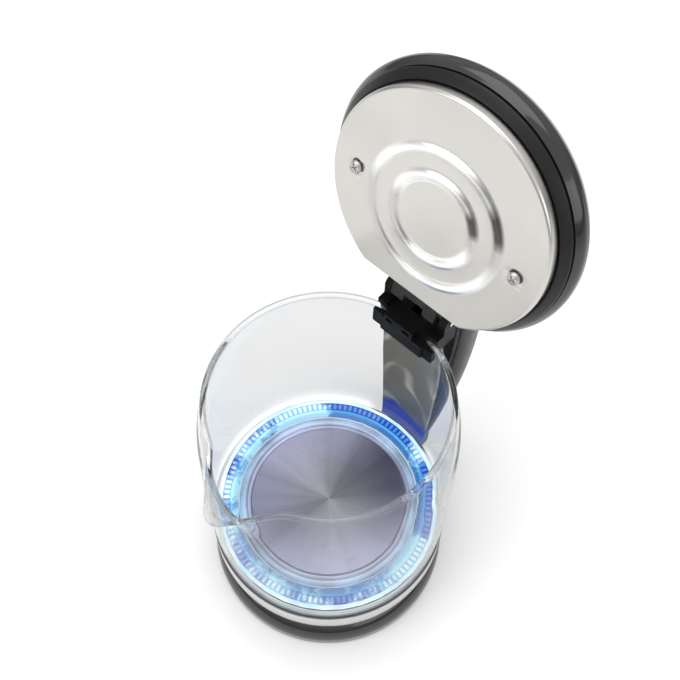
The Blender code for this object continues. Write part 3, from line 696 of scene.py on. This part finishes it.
def strap_material():
    """The grey strip behind the glass, with painted wisp-like light bent by the glass, and painted deep
    blue light of the light ring near its foot.
    """
    made = Nodes("strip_grey", (0.24, 0.23, 0.19), 0.6)
    made.set("Specular IOR Level", 0.2)
    _, _, height = made.polar()
    grey = made.mix(made.noise(40.0), (0.2, 0.192, 0.155), (0.29, 0.28, 0.235))
    # painted light of the light ring: a dark navy colour and a blue glow over the strip's foot, with a
    # ragged top
    ragged = made.maths("ADD", height, made.span(made.noise(70.0), -5 * MM, 5 * MM, 0.25, 0.75))
    foot = made.span(ragged, 1.0, 0.0, 75 * MM, 80 * MM)
    made.feed(made.mix(foot, grey, (0.01, 0.012, 0.06)), "Base Color")
    # painted light: thin bright curls of light that the glass bends onto the strip
    crest = made.maths("ABSOLUTE", made.maths("SUBTRACT", made.noise(28.0, 1.0, (1, 1, 0.6)), 0.5))
    painted_wisps = made.span(crest, 1.0, 0.0, 0.0, 0.05)
    painted_wisps = made.maths("MULTIPLY", painted_wisps, made.span(made.noise(34.0, 1.0), 0.0, 0.3, 0.38, 0.6))
    lit = made.mix(painted_wisps, BLACK, (1.0, 0.99, 0.95))
    # painted blue glow of the light ring over the foot
    made.feed(made.mix(foot, lit, (0.01, 0.025, 0.3)), "Emission Color")
    made.set("Emission Strength", 1.0)
    made.bump(made.noise(900.0), 0.012)
    return made.material


def board_material():
    """The white circuit board under the light guide, with faint tracks."""
    made = Nodes("board_white", (0.6, 0.64, 0.7), 0.35)
    tracks = made.noise(260.0, 1.0)
    made.feed(made.ramp(tracks, [(0.48, (0.5, 0.56, 0.64)), (0.52, (0.68, 0.73, 0.8))]), "Base Color")
    made.bump(tracks, 0.03)
    return made.material


def lamp_material():
    """A light-emitting diode that is on."""
    made = Nodes("lamp_blue", (0.5, 0.8, 1.0), 0.3)
    made.feed(made.mix(made.noise(500.0), (0.4, 0.7, 1.0), (0.8, 0.95, 1.0)), "Emission Color")
    made.set("Emission Strength", 3.0)
    return made.material


def make_materials():
    return {
        "gloss_black": plastic("piano_black", (0.009, 0.009, 0.01), 0.16, 500.0, 0.0015, 0.4),
        "matte_black": plastic("satin_black", (0.006, 0.006, 0.006), 0.42, 1300.0, 0.012, specular=0.35),
        "deep_black": plastic("deep_black", (0.003, 0.003, 0.003), 0.5, 1300.0, 0.012, specular=0.1),
        "handle_black": plastic("handle_satin", (0.022, 0.022, 0.023), 0.33, 1100.0, 0.008),
        "flange_black": plastic("flange_satin", (0.008, 0.008, 0.008), 0.34, 1200.0, 0.008, specular=0.25),
        "rubber": plastic("rubber_black", (0.03, 0.03, 0.03), 0.75, 700.0, 0.03),
        "silicone": plastic("silicone_white", (0.7, 0.72, 0.75), 0.5, 400.0, 0.01),
        "bright_steel": metal("bright_steel", (0.8, 0.79, 0.77), 0.16, 900.0, 0.002),
        "screw_steel": metal("screw_steel", (0.5, 0.49, 0.47), 0.3, 900.0, 0.004),
        "plain_steel": metal("plain_steel", (0.5, 0.5, 0.5), 0.34, 500.0, 0.01, (1, 1, 0.1)),
        "aluminium": metal("rolled_aluminium", (0.72, 0.72, 0.72), 0.42, 400.0, 0.02, (0.1, 1, 1)),
        "brass": metal("contact_brass", (0.78, 0.6, 0.3), 0.25, 700.0, 0.004),
        "glass": glass_material("clear_glass", WALL_TINT, 0.35),
        "rim": glass_material("rim_glass", RIM_TINT, 1.0),
        "seal": lit_seal(),
        "turned": brushed_plate(),
        "band": banded_steel(),
        "sheet": satin_sheet(),
        "guide": light_material("light_guide", False),
        "tooth": light_material("light_tooth", True),
        "strap": strap_material(),
        "board": board_material(),
        "lamp": lamp_material(),
    }


MATERIALS = make_materials()

# CAD nodes whose shape is right as it is, by the material that they take
KEPT_NODES = {
    "bright_steel": (
        "base_screw_1", "base_screw_2", "base_screw_3", "jug_screw_1", "jug_screw_2", "jug_screw_3",
        "handle_screw_left", "handle_screw_right", "bracket_screw_left", "bracket_screw_right",
        "button_spring", "hinge_spring", "switch_pin", "hinge_pin",
    ),
    "matte_black": ("thermostat_body", "jug_socket", "base_connector", "jug_bottom", "cord_inlet"),
    "aluminium": ("bimetal_disc_left", "bimetal_disc_right", "heat_spreader"),
    "brass": ("earth_pin", "live_ring"),
    "plain_steel": ("heating_element",),
    "board": ("led_board",),
    "silicone": ("steam_tube", "plate_seal"),
    "seal": ("glass_seal",),
}
LAMPS = 6


def dress_kept_nodes():
    """Gives the CAD nodes that stay their materials."""
    for material, names in KEPT_NODES.items():
        for name in names:
            mesh = frame["nodes"][name].data
            paint(mesh, material)
            shade(mesh, 35)
    for k in range(1, LAMPS + 1):
        paint(frame["nodes"][f"led_{k}"].data, "lamp")


# ---- the glass jug ----
def spout_reach(angle):
    """Radius of the spout's outline in plan at an angle from its middle: straight sides and a round tip."""
    tip = Vector((SPOUT_REACH - TIP_RADIUS, 0.0))
    shoulder = Vector((RIM_RADIUS * math.cos(SPOUT_HALF_ANGLE), RIM_RADIUS * math.sin(SPOUT_HALF_ANGLE)))
    across = tip - shoulder
    side_angle = math.atan2(across.y, across.x) + math.asin(TIP_RADIUS / across.length)
    side = Vector((math.cos(side_angle), math.sin(side_angle)))
    touch = shoulder + side * math.sqrt(across.length**2 - TIP_RADIUS**2)
    ray = Vector((math.cos(angle), math.sin(angle)))
    if angle < math.atan2(touch.y, touch.x):
        return tip.x * ray.x + math.sqrt(max(TIP_RADIUS**2 - (tip.x * ray.y) ** 2, 0.0))
    return shoulder.cross(side) / ray.cross(side)


def spout_pull(angle, height):
    """How far the wall moves outwards for the spout, easing in at its shoulders and below."""
    angle = abs(angle)
    end = SPOUT_HALF_ANGLE * 1.25
    rise = (height - (RIM_Z - SPOUT_DEPTH)) / SPOUT_DEPTH
    if rise <= 0.0 or angle > end:
        return 0.0
    beyond = spout_reach(angle) - RIM_RADIUS
    beyond = (beyond + math.sqrt(beyond * beyond + SPOUT_EASE * SPOUT_EASE)) / 2
    fade = max(0.0, min(1.0, (end - angle) / (SPOUT_HALF_ANGLE * 0.25)))
    return min(beyond * fade, SPOUT_REACH - RIM_RADIUS) * min(rise, 1.0) ** SPOUT_FALL


def jug_profile():
    """The wall's closed outline: up the outside, round the bead, down the inside and round the foot."""
    wall = [tuple(p) for p in through(GLASS_OUTER, 6)]
    outside = [p for p in wall if p[1] < RIM_Z - BEAD - 0.4]
    bead = arc((RIM_RADIUS - BEAD, RIM_Z - BEAD), BEAD, 0, 205, 16)
    inside = [(r - GLASS_WALL, z) for r, z in reversed(wall) if z < RIM_Z - BEAD - 2.2]
    foot = arc((wall[0][0] - GLASS_WALL / 2, GLASS_FOOT + 0.6), GLASS_WALL / 2, -145, -35, 5)
    return [*outside, *bead, *inside, *foot]


def glass_jug():
    """One wall of clear glass with a round bead at its rim, drawn out into the pouring spout."""
    glass = lathe("jug_glass", jug_profile(), 240, True, 60)
    bead_foot = (RIM_Z - 2 * BEAD) * MM
    beads = [face.index for face in glass.data.polygons if face.center.z > bead_foot]
    for vertex in glass.data.vertices:
        x, y, z = vertex.co / MM
        pull = spout_pull(math.atan2(y, -x), z)
        if pull <= 0.0:
            continue
        radius = math.hypot(x, y)
        grown = (radius + pull) / radius
        drop = SPOUT_DROP * pull / (SPOUT_REACH - RIM_RADIUS)
        vertex.co = Vector((x * grown, y * grown, z - drop)) * MM
    finish_piece(glass, "jug", "glass", "jug_glass", "glass_jug")
    glass.data.materials.append(MATERIALS["rim"])
    for index in beads:
        glass.data.polygons[index].material_index = 1


# ---- heater and light ring ----
def heater():
    """The floor of the jug: a flat disc, a groove, a rounded ridge and a skirt."""
    z, edge = PLATE_Z, HEATER_RADIUS
    profile = [
        (0, z), (48.1, z), *arc((48.3, z - 0.5), 0.5, 80, 0, 4), (49.2, z - 1.5), (50.3, z - 1.5),
        *arc((53.1, z - 1.9), 2.1, 165, 15, 14), (edge, z - 2.6), (edge, HEATER_FLOOR),
        (edge - 1, HEATER_FLOOR), (edge - 1, z - 3.2), (51, z - 3.0), (47.6, z - 1.2), (0, z - 1.2),
    ]
    plate = lathe("heating_plate", profile)
    finish_piece(plate, "jug", "turned", "brushed_steel", "heater_plate")


def light_ring():
    """A clear light guide with a stepped inner lip and a crown of fine teeth."""
    z = PLATE_Z
    profile = [
        (57.4, z), (60.0, z), (60.5, z - 0.25), (61.2, z + 0.35), (61.8, z + 0.35), (62.2, z - 0.15),
        (66.3, z - 0.15), (66.5, z + 0.5), (LENS_RADIUS, z + 0.4), (LENS_RADIUS, LENS_FLOOR),
        (57.4, LENS_FLOOR),
    ]
    guide = lathe("light_guide", rounded(profile, 0.25), closed=True)
    finish_piece(guide, "jug", "guide", "light_lens", "led_lens")
    work = bmesh.new()
    pitch = math.tau / TEETH
    size = Matrix.Diagonal((3.6 * MM, pitch * TOOTH_RING * 0.52 * MM, 0.85 * MM, 1.0))
    out = Matrix.Translation(Vector((TOOTH_RING, 0, z + 0.36)) * MM)
    for k in range(TEETH):
        turn = Matrix.Rotation(k * pitch, 4, "Z")
        tooth = bmesh.ops.create_cube(work, size=1.0, matrix=turn @ out @ size)
        edges = list({edge for vertex in tooth["verts"] for edge in vertex.link_edges})
        bmesh.ops.bevel(work, geom=edges, offset=0.22 * MM, segments=2, affect="EDGES")
    teeth = from_work("light_ring_teeth", work)
    finish_piece(teeth, "jug", "tooth", "light_lens")


# ---- jug housing and base ----
def housing():
    """The black collar round the foot of the glass, and the steel band let into it."""
    floor, top = COLLAR_FLOOR, COLLAR_TOP
    profile = [
        (73.2, top), (73.9, top - 1.0), (73.9, BAND_HIGH + 0.5), (72.9, BAND_HIGH + 0.3),
        (72.9, BAND_LOW - 0.3), (73.7, BAND_LOW - 0.6), (73.2, 33), (72.2, 28), (70.9, 24), (70, floor),
        (66.8, floor), (69.2, 29), (69.6, 44.6), (67, 44.6), (67, 47.6), (70.75, 47.65), (72.8, top - 0.4),
    ]
    collar = lathe("lower_collar", rounded(profile, 0.5), closed=True)
    finish_piece(collar, "jug", "gloss_black", "gloss_black", "jug_collar")
    profile = [
        (73.5, BAND_HIGH), (BAND_RADIUS, BAND_HIGH - 0.6), (BAND_RADIUS, BAND_LOW + 0.6), (73.5, BAND_LOW),
        (73.25, BAND_LOW), (73.25, BAND_HIGH),
    ]
    band = lathe("brushed_band", rounded(profile, 0.25), closed=True)
    finish_piece(band, "jug", "band", "brushed_steel", "steel_band")


def within(points, radius, top):
    """The points held inside a radius and a height, so that the piece stays in the CAD box."""
    return [(min(r, radius), min(z, top)) for r, z in points]


def power_base():
    """The cover with the way in for the cord, the underside and four rubber feet."""
    top, foot, radius = BASE_TOP, BASE_RIM_Z, BASE_RADIUS
    shoulder = [
        (15.6, top), (60, top), (66, top - 0.9), (70.6, top - 3.0), (74, top - 6.8), (75.6, top - 10.6),
        (radius, top - 13.6), (radius, foot),
    ]
    outside = within(through(shoulder, 5), radius, top)
    inside = [(73.8, foot), (73.8, 8), (72.4, 12.6), (68.8, 16.4), (61.6, 18.7), (15.6, 18.7)]
    cover = lathe("base_top_shell", [*outside, *inside], closed=True)
    combine(cover, [rod("inlet_cut", (70, 0, INLET_Z), (80, 0, INLET_Z), 5.4)])
    finish_piece(cover, "power_base", "gloss_black", "gloss_black", "base_cover")
    profile = [(0, 4.8), (73.2, 4.8), (73.2, 2.6), (34, 2.6), (32.6, 1.0), (0, 1.0)]
    floor = lathe("base_underside", rounded(profile, 0.5))
    finish_piece(floor, "power_base", "matte_black", "matte_black", "base_bottom")
    profile = [
        (0, 6.2), (2, 6.2), (2, 2.3), (6.8, 2.3), (6.8, 1.0), (6.2, 0), (2.6, 0), (2.2, 0.5), (0, 0.5),
    ]
    for k in range(1, 5):
        middle = middle_of(f"base_foot_{k}")
        pad = lathe(f"foot_pad_{k}", rounded(profile, 0.4), steps=64)
        pad.data.transform(Matrix.Translation((middle.x, middle.y, 0)))
        finish_piece(pad, "power_base", "rubber", "rubber_foot", f"base_foot_{k}")


# ---- handle ----
GRIP = [
    (74, 0, 195.5), (84, 0, 196.3), (95, 0, 194.2), (104.5, 0, 188), (110.8, 0, 177.5), (113.6, 0, 163),
    (114.2, 0, 145), (113.6, 0, 125), (111.4, 0, 106), (107, 0, 88), (99.8, 0, 72), (90, 0, 58.5),
    (74, 0, 46),
]
GRIP_THICK, GRIP_WIDE = 10.95, 14.4
LINER_INSET = 9.4
OVAL, SQUARED = 2.5, 4.0
BUTTON_X = 87.0
STRIP_ROWS, STRIP_COLUMNS = 40, 24


def liner_path():
    """The middle line of the liner: the straighter part of the grip's, moved in towards the jug."""
    path = through(GRIP[3:11], 6)
    return [place + inward_at(path, i) * LINER_INSET for i, place in enumerate(path)]


def handle():
    """The loop, cut clear of the jug, bracket, button and switch, and the liner inside it."""
    button_low, button_high = (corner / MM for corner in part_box("lid_button"))
    grip = swept("grip_shell", through(GRIP, 7), GRIP_THICK, GRIP_WIDE, 56, OVAL)
    body_room = [(0, 230), (77.8, 230), (77.8, 56.4), (74.6, 55.8), (74.6, 20), (0, 20)]
    button_far = (button_high.x + 0.4, button_high.y + 0.4, 220)
    cutters = [
        lathe("body_room", body_room, 144),
        block("bracket_cut", (60, -25, 190), (77.6, 25, 230)),
        block("button_cut", (BUTTON_X - 0.4, button_low.y - 0.4, 198), button_far, 1.6),
        block("finger_cut", (70, -4, 199.4), (90, 4, 206.2)),
        block("switch_cut", (70, -20, 20), (130, 20, 38.4)),
        swept("liner_cut", liner_path(), 3.4, 9.35, 24, SQUARED),
    ]
    combine(grip, cutters)
    soften(grip, 0.5, 3)
    finish_piece(grip, "jug", "handle_black", "handle_black", "handle_shell")
    liner = swept("grip_liner", liner_path(), 3.0, 9.0, 32, SQUARED)
    finish_piece(liner, "jug", "matte_black", "matte_black", "handle_liner")


def outer_radius(height):
    """The glass's outer radius at a height."""
    for (r0, z0), (r1, z1) in zip(GLASS_OUTER, GLASS_OUTER[1:]):
        if height <= z1:
            return r0 + (r1 - r0) * max(0.0, (height - z0) / (z1 - z0))
    return GLASS_OUTER[-1][0]


def strap():
    """The strip behind the glass: a slice of a shell round the jug, with a head under the bracket."""
    work = bmesh.new()

    def sheet(gap):
        rows = []
        for i in range(STRIP_ROWS + 1):
            share = i / STRIP_ROWS
            height = STRAP_FOOT + (STRAP_TOP - STRAP_FOOT) * share
            half = STRAP_HALF * (0.84 + 0.16 * min(1.0, share * 1.6))
            radius = outer_radius(height) + gap
            row = []
            for k in range(STRIP_COLUMNS + 1):
                angle = math.asin(half / radius) * (2 * k / STRIP_COLUMNS - 1)
                place = Vector((radius * math.cos(angle), radius * math.sin(angle), height)) * MM
                row.append(work.verts.new(place))
            rows.append(row)
        return rows

    def join(first, second):
        for k in range(len(first) - 1):
            work.faces.new((first[k], first[k + 1], second[k + 1], second[k]))

    front, back = sheet(0.5), sheet(3.5)
    for rows in (front, back):
        for low_row, high_row in zip(rows, rows[1:]):
            join(low_row, high_row)
    join(front[0], back[0])
    join(front[-1], back[-1])
    for k in (0, STRIP_COLUMNS):
        join([row[k] for row in front], [row[k] for row in back])
    strip = from_work("back_strip", work)
    head = block("strip_head", (72, -13, 178), (76.6, 13, STRAP_TOP), 0.8)
    combine(strip, [head], "UNION")
    soften(strip, 0.4, 2, 40)
    finish_piece(strip, "jug", "strap", "strap_grey", "handle_strap")


# ---- hinge bracket and switch: the CAD shapes with soft edges ----
SOFTENED = (
    ("hinge_bracket", 0.45, "deep_black"), ("power_switch", 0.3, "matte_black"),
    ("switch_housing", 0.3, "matte_black"),
)


def soften_kept():
    """Rounds the edges of CAD shapes that stay."""
    for name, width, material in SOFTENED:
        obj = frame["nodes"][name]
        paint(obj.data, material)
        shade(obj.data, 30)
        soften(obj, width)


def release_button():
    """The cap, its finger, and a pocket under it with room for the spring."""
    corner, opposite = (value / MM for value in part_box("lid_button"))
    cap = block("release_button", (BUTTON_X, corner.y, corner.z), tuple(opposite), 1.8, 5)
    finger = block("release_finger", (corner.x, -3.4, 202.6), (90, 3.4, 205.6), 0.5)
    combine(cap, [finger], "UNION")
    spring = middle_of("button_spring") / MM
    combine(cap, [rod("spring_pocket", (spring.x, spring.y, 190), (spring.x, spring.y, 203.7), 4.8)])
    finish_piece(cap, "lid_button", "matte_black", "matte_black", "lid_button")


# ---- the lid ----
def past_chord(obj, x):
    """A cutter for everything on the hinge's side of a straight line across the lid."""
    return block(obj.name + "_chord", (x, -BEYOND, LID_CUT_LOW), (BEYOND, BEYOND, LID_CUT_HIGH))


def d_cut(shell, hollow, chord, wall):
    """A turned cup with a straight wall across it, made of a solid and the room inside it."""
    combine(hollow, [past_chord(hollow, chord - wall)])
    return combine(shell, [past_chord(shell, chord), hollow])


def bump_profile(start, end, height):
    """A smooth raised ring between two radii."""
    shares = [i / RIDGE_STEPS for i in range(RIDGE_STEPS + 1)]
    return [(start + (end - start) * share, height * math.sin(math.pi * share) ** 2) for share in shares]


def off_centre(obj):
    """Moves the turned plate's ridges towards the hinge, fading out before its edge."""
    whole, none = 41.0, 59.0
    for vertex in obj.data.vertices:
        share = (none - vertex.co.xy.length / MM) / (none - whole)
        vertex.co.x += LID_MIDDLE_X * MM * max(0.0, min(1.0, share))


def lid_plate():
    """Pressed steel: two raised rings, a rolled edge, a straight side and dished screw seats."""
    z, radius = LID_PLATE_Z, LID_PLATE_RADIUS
    face = [
        (0, 0), (10, 0), (19.4, 0), *bump_profile(19.9, 27.2, -1.0), (30, 0),
        *bump_profile(32.8, 40.4, -1.0), (46, 0), (54, 0), (60.0, 0), *arc((60.4, 1.7), 1.7, -88, 0, 8),
    ]
    outside = [(0, z + 7), (radius, z + 7)]
    outside += [(min(r, radius), z + h) for r, h in reversed(face)]
    inside = [(0, z + 9), (radius - LID_SHEET, z + 9)]
    inside += [(min(r, radius - LID_SHEET), z + h + LID_SHEET) for r, h in reversed(face)]
    shell = lathe("lid_inner_plate", outside)
    hollow = lathe("plate_hollow", inside)
    off_centre(shell)
    off_centre(hollow)
    plate = d_cut(shell, hollow, LID_CHORD, LID_SHEET)
    seat = [(0, -1.0), (7.0, -1.0), (4.9, 0.0), (4.0, 0.5), (0, 0.5)]
    seats = []
    for side in (-1, 1):
        y = side * LID_SCREW_Y
        seats.append(rod(f"hole_{side}", (LID_MIDDLE_X, y, z - 4), (LID_MIDDLE_X, y, z + 4), SCREW_HOLE))
        dish = lathe(f"dish_{side}", seat, 64)
        dish.data.transform(Matrix.Translation(Vector((LID_MIDDLE_X, y, z)) * MM))
        seats.append(dish)
    combine(plate, seats)
    soften(plate, 0.5, 3, 50)
    swing_open(plate)
    finish_piece(plate, "lid", "sheet", "lid_steel", "lid_plate")


def lid_screws():
    """Two cross-head screws that hold the sheet."""
    profile = [(0, 1.3), (1.7, 1.25), (2.7, 1.0), (3.25, 0.5), (3.4, 0), (1.4, 0), (1.4, -7), (0, -7.6)]
    for side, name in ((-1, "left"), (1, "right")):
        screw = lathe(f"cross_screw_{name}", profile, 48)
        slots = [
            block("slot_a", (-1.9, -0.4, 0.5), (1.9, 0.4, 3)),
            block("slot_b", (-0.4, -1.9, 0.5), (0.4, 1.9, 3)),
        ]
        combine(screw, slots)
        screw.data.transform(Matrix.Rotation(math.radians(37 * side), 4, "Z"))
        screw.data.transform(Matrix.Rotation(math.pi, 4, "X"))
        place = Vector((LID_MIDDLE_X, side * LID_SCREW_Y, LID_PLATE_Z - 0.3))
        screw.data.transform(Matrix.Translation(place * MM))
        swing_open(screw)
        finish_piece(screw, "lid", "screw_steel", "polished_steel", f"lid_screw_{name}")


def lid_frame():
    """The black flange under the dome, with the arm that turns on the hinge pin."""
    profile = [
        (0, 206.2), (67.2, 206.2), (66.8, 205.2), (64.6, 203.2), (63.4, 202.2), (62.6, 202.2), (62.6, 204),
        (0, 204),
    ]
    flange = lathe("lid_flange", rounded(profile, 0.35))
    combine(flange, [past_chord(flange, COVER_CHORD)])
    arm = [
        block("arm", (50.4, -ARM_HALF, 204.4), (HINGE_X, ARM_HALF, 214.2)),
        rod("arm_barrel", (HINGE_X, -ARM_HALF, HINGE_Z), (HINGE_X, ARM_HALF, HINGE_Z), BARREL_RADIUS),
    ]
    for side in (-1, 1):
        x, y = LID_MIDDLE_X, side * LID_SCREW_Y
        arm.append(rod(f"boss_{side}", (x, y, LID_PLATE_Z + 2.2), (x, y, 205), 4.4))
    combine(flange, arm, "UNION")
    rooms = [
        block("spring_room", (HINGE_X - 4.9, -6.4, 200), (80, 6.4, 230)),
        rod("pin_room", (HINGE_X, -30, HINGE_Z), (HINGE_X, 30, HINGE_Z), PIN_HOLE),
    ]
    combine(flange, rooms)
    soften(flange, 0.3, 2, 40)
    swing_open(flange)
    finish_piece(flange, "lid", "flange_black", "matte_black", "lid_frame")


def lid_dome():
    """The hollow gloss black cover, with a straight side and room for the arm."""
    outside = [
        (0, DOME_TOP), (24, 230.8), (44, 228.6), (58, 225), (66.4, 220), (70, 214.6), (DOME_RADIUS, 211.4),
        (69.4, 209), (67.6, 207),
    ]
    inside = [
        (0, 229), (23.6, 228.4), (43.2, 226.3), (56.2, 222.9), (63.8, 218.4), (67.6, 213.9), (68, 211.8),
        (67.2, 210.2), (65.2, 208), (65.2, 206),
    ]
    outside = within(through(outside, 6), DOME_RADIUS, DOME_TOP)
    shell = lathe("lid_dome", [*outside, (0, 207)])
    hollow = lathe("dome_hollow", [*through(inside, 4), (0, 206)])
    dome = d_cut(shell, hollow, COVER_CHORD, LID_WALL)
    arm_side = ARM_HALF + 0.35
    combine(dome, [block("dome_arm_room", (49, -arm_side, 200), (80, arm_side, 214.6))])
    soften(dome, 0.6, 3, 40)
    swing_open(dome)
    finish_piece(dome, "lid", "gloss_black", "gloss_black", "lid_cover")


# ---- studio ----
# white lights: name, place and target in metres, size in metres, power in watts
LIGHTS = (
    ("overhead", (0.1, 0.15, 1.5), (0, 0, 0.15), (1.2, 1.2), 7.6),
    ("left_window", (-1.2, 0.5, 0.9), (0, 0, 0.15), (0.8, 1.1), 6.0),
    ("front_fill", (-0.2, -1.4, 0.8), (0, 0, 0.1), (1.1, 0.7), 3.4),
)


def area_light(name, place, target, size, power):
    data = bpy.data.lights.new(name, "AREA")
    data.shape = "RECTANGLE"
    data.size, data.size_y = size
    data.energy = power
    light = bpy.data.objects.new(name, data)
    bpy.context.scene.collection.objects.link(light)
    light.location = place
    light.rotation_euler = (Vector(target) - Vector(place)).to_track_quat("-Z", "Y").to_euler()


def pale_floor():
    """A plain floor, 12 metres across."""
    work = bmesh.new()
    bmesh.ops.create_grid(work, x_segments=1, y_segments=1, size=6.0)
    floor = from_work("floor", work)
    made = Nodes("pale_floor", (0.93, 0.93, 0.93), 0.75)
    made.feed(made.mix(made.noise(3.0), (0.92, 0.92, 0.92), (0.94, 0.94, 0.94)), "Base Color")
    floor.data.materials.append(made.material)


def pale_sky():
    """Even light all round, a little darker from below."""
    world = bpy.data.worlds.new("studio")
    world.use_nodes = True
    bpy.context.scene.world = world
    tree = world.node_tree
    sky = tree.nodes["Background"]
    place = tree.nodes.new("ShaderNodeTexCoord")
    split = tree.nodes.new("ShaderNodeSeparateXYZ")
    ramp = tree.nodes.new("ShaderNodeValToRGB")
    tree.links.new(place.outputs["Generated"], split.inputs[0])
    tree.links.new(split.outputs[2], ramp.inputs[0])
    tree.links.new(ramp.outputs[0], sky.inputs[0])
    below, above = ramp.color_ramp.elements
    below.position, below.color = 0.0, (0.30, 0.31, 0.33, 1)
    above.position, above.color = 0.55, (1, 1, 1, 1)
    sky.inputs[1].default_value = 0.95


def studio():
    pale_floor()
    pale_sky()
    for light in LIGHTS:
        area_light(*light)
    bpy.context.scene.view_settings.view_transform = "Standard"


make_camera()
dress_kept_nodes()
soften_kept()
glass_jug()
heater()
light_ring()
housing()
power_base()
handle()
strap()
release_button()
lid_plate()
lid_screws()
lid_frame()
lid_dome()
studio()
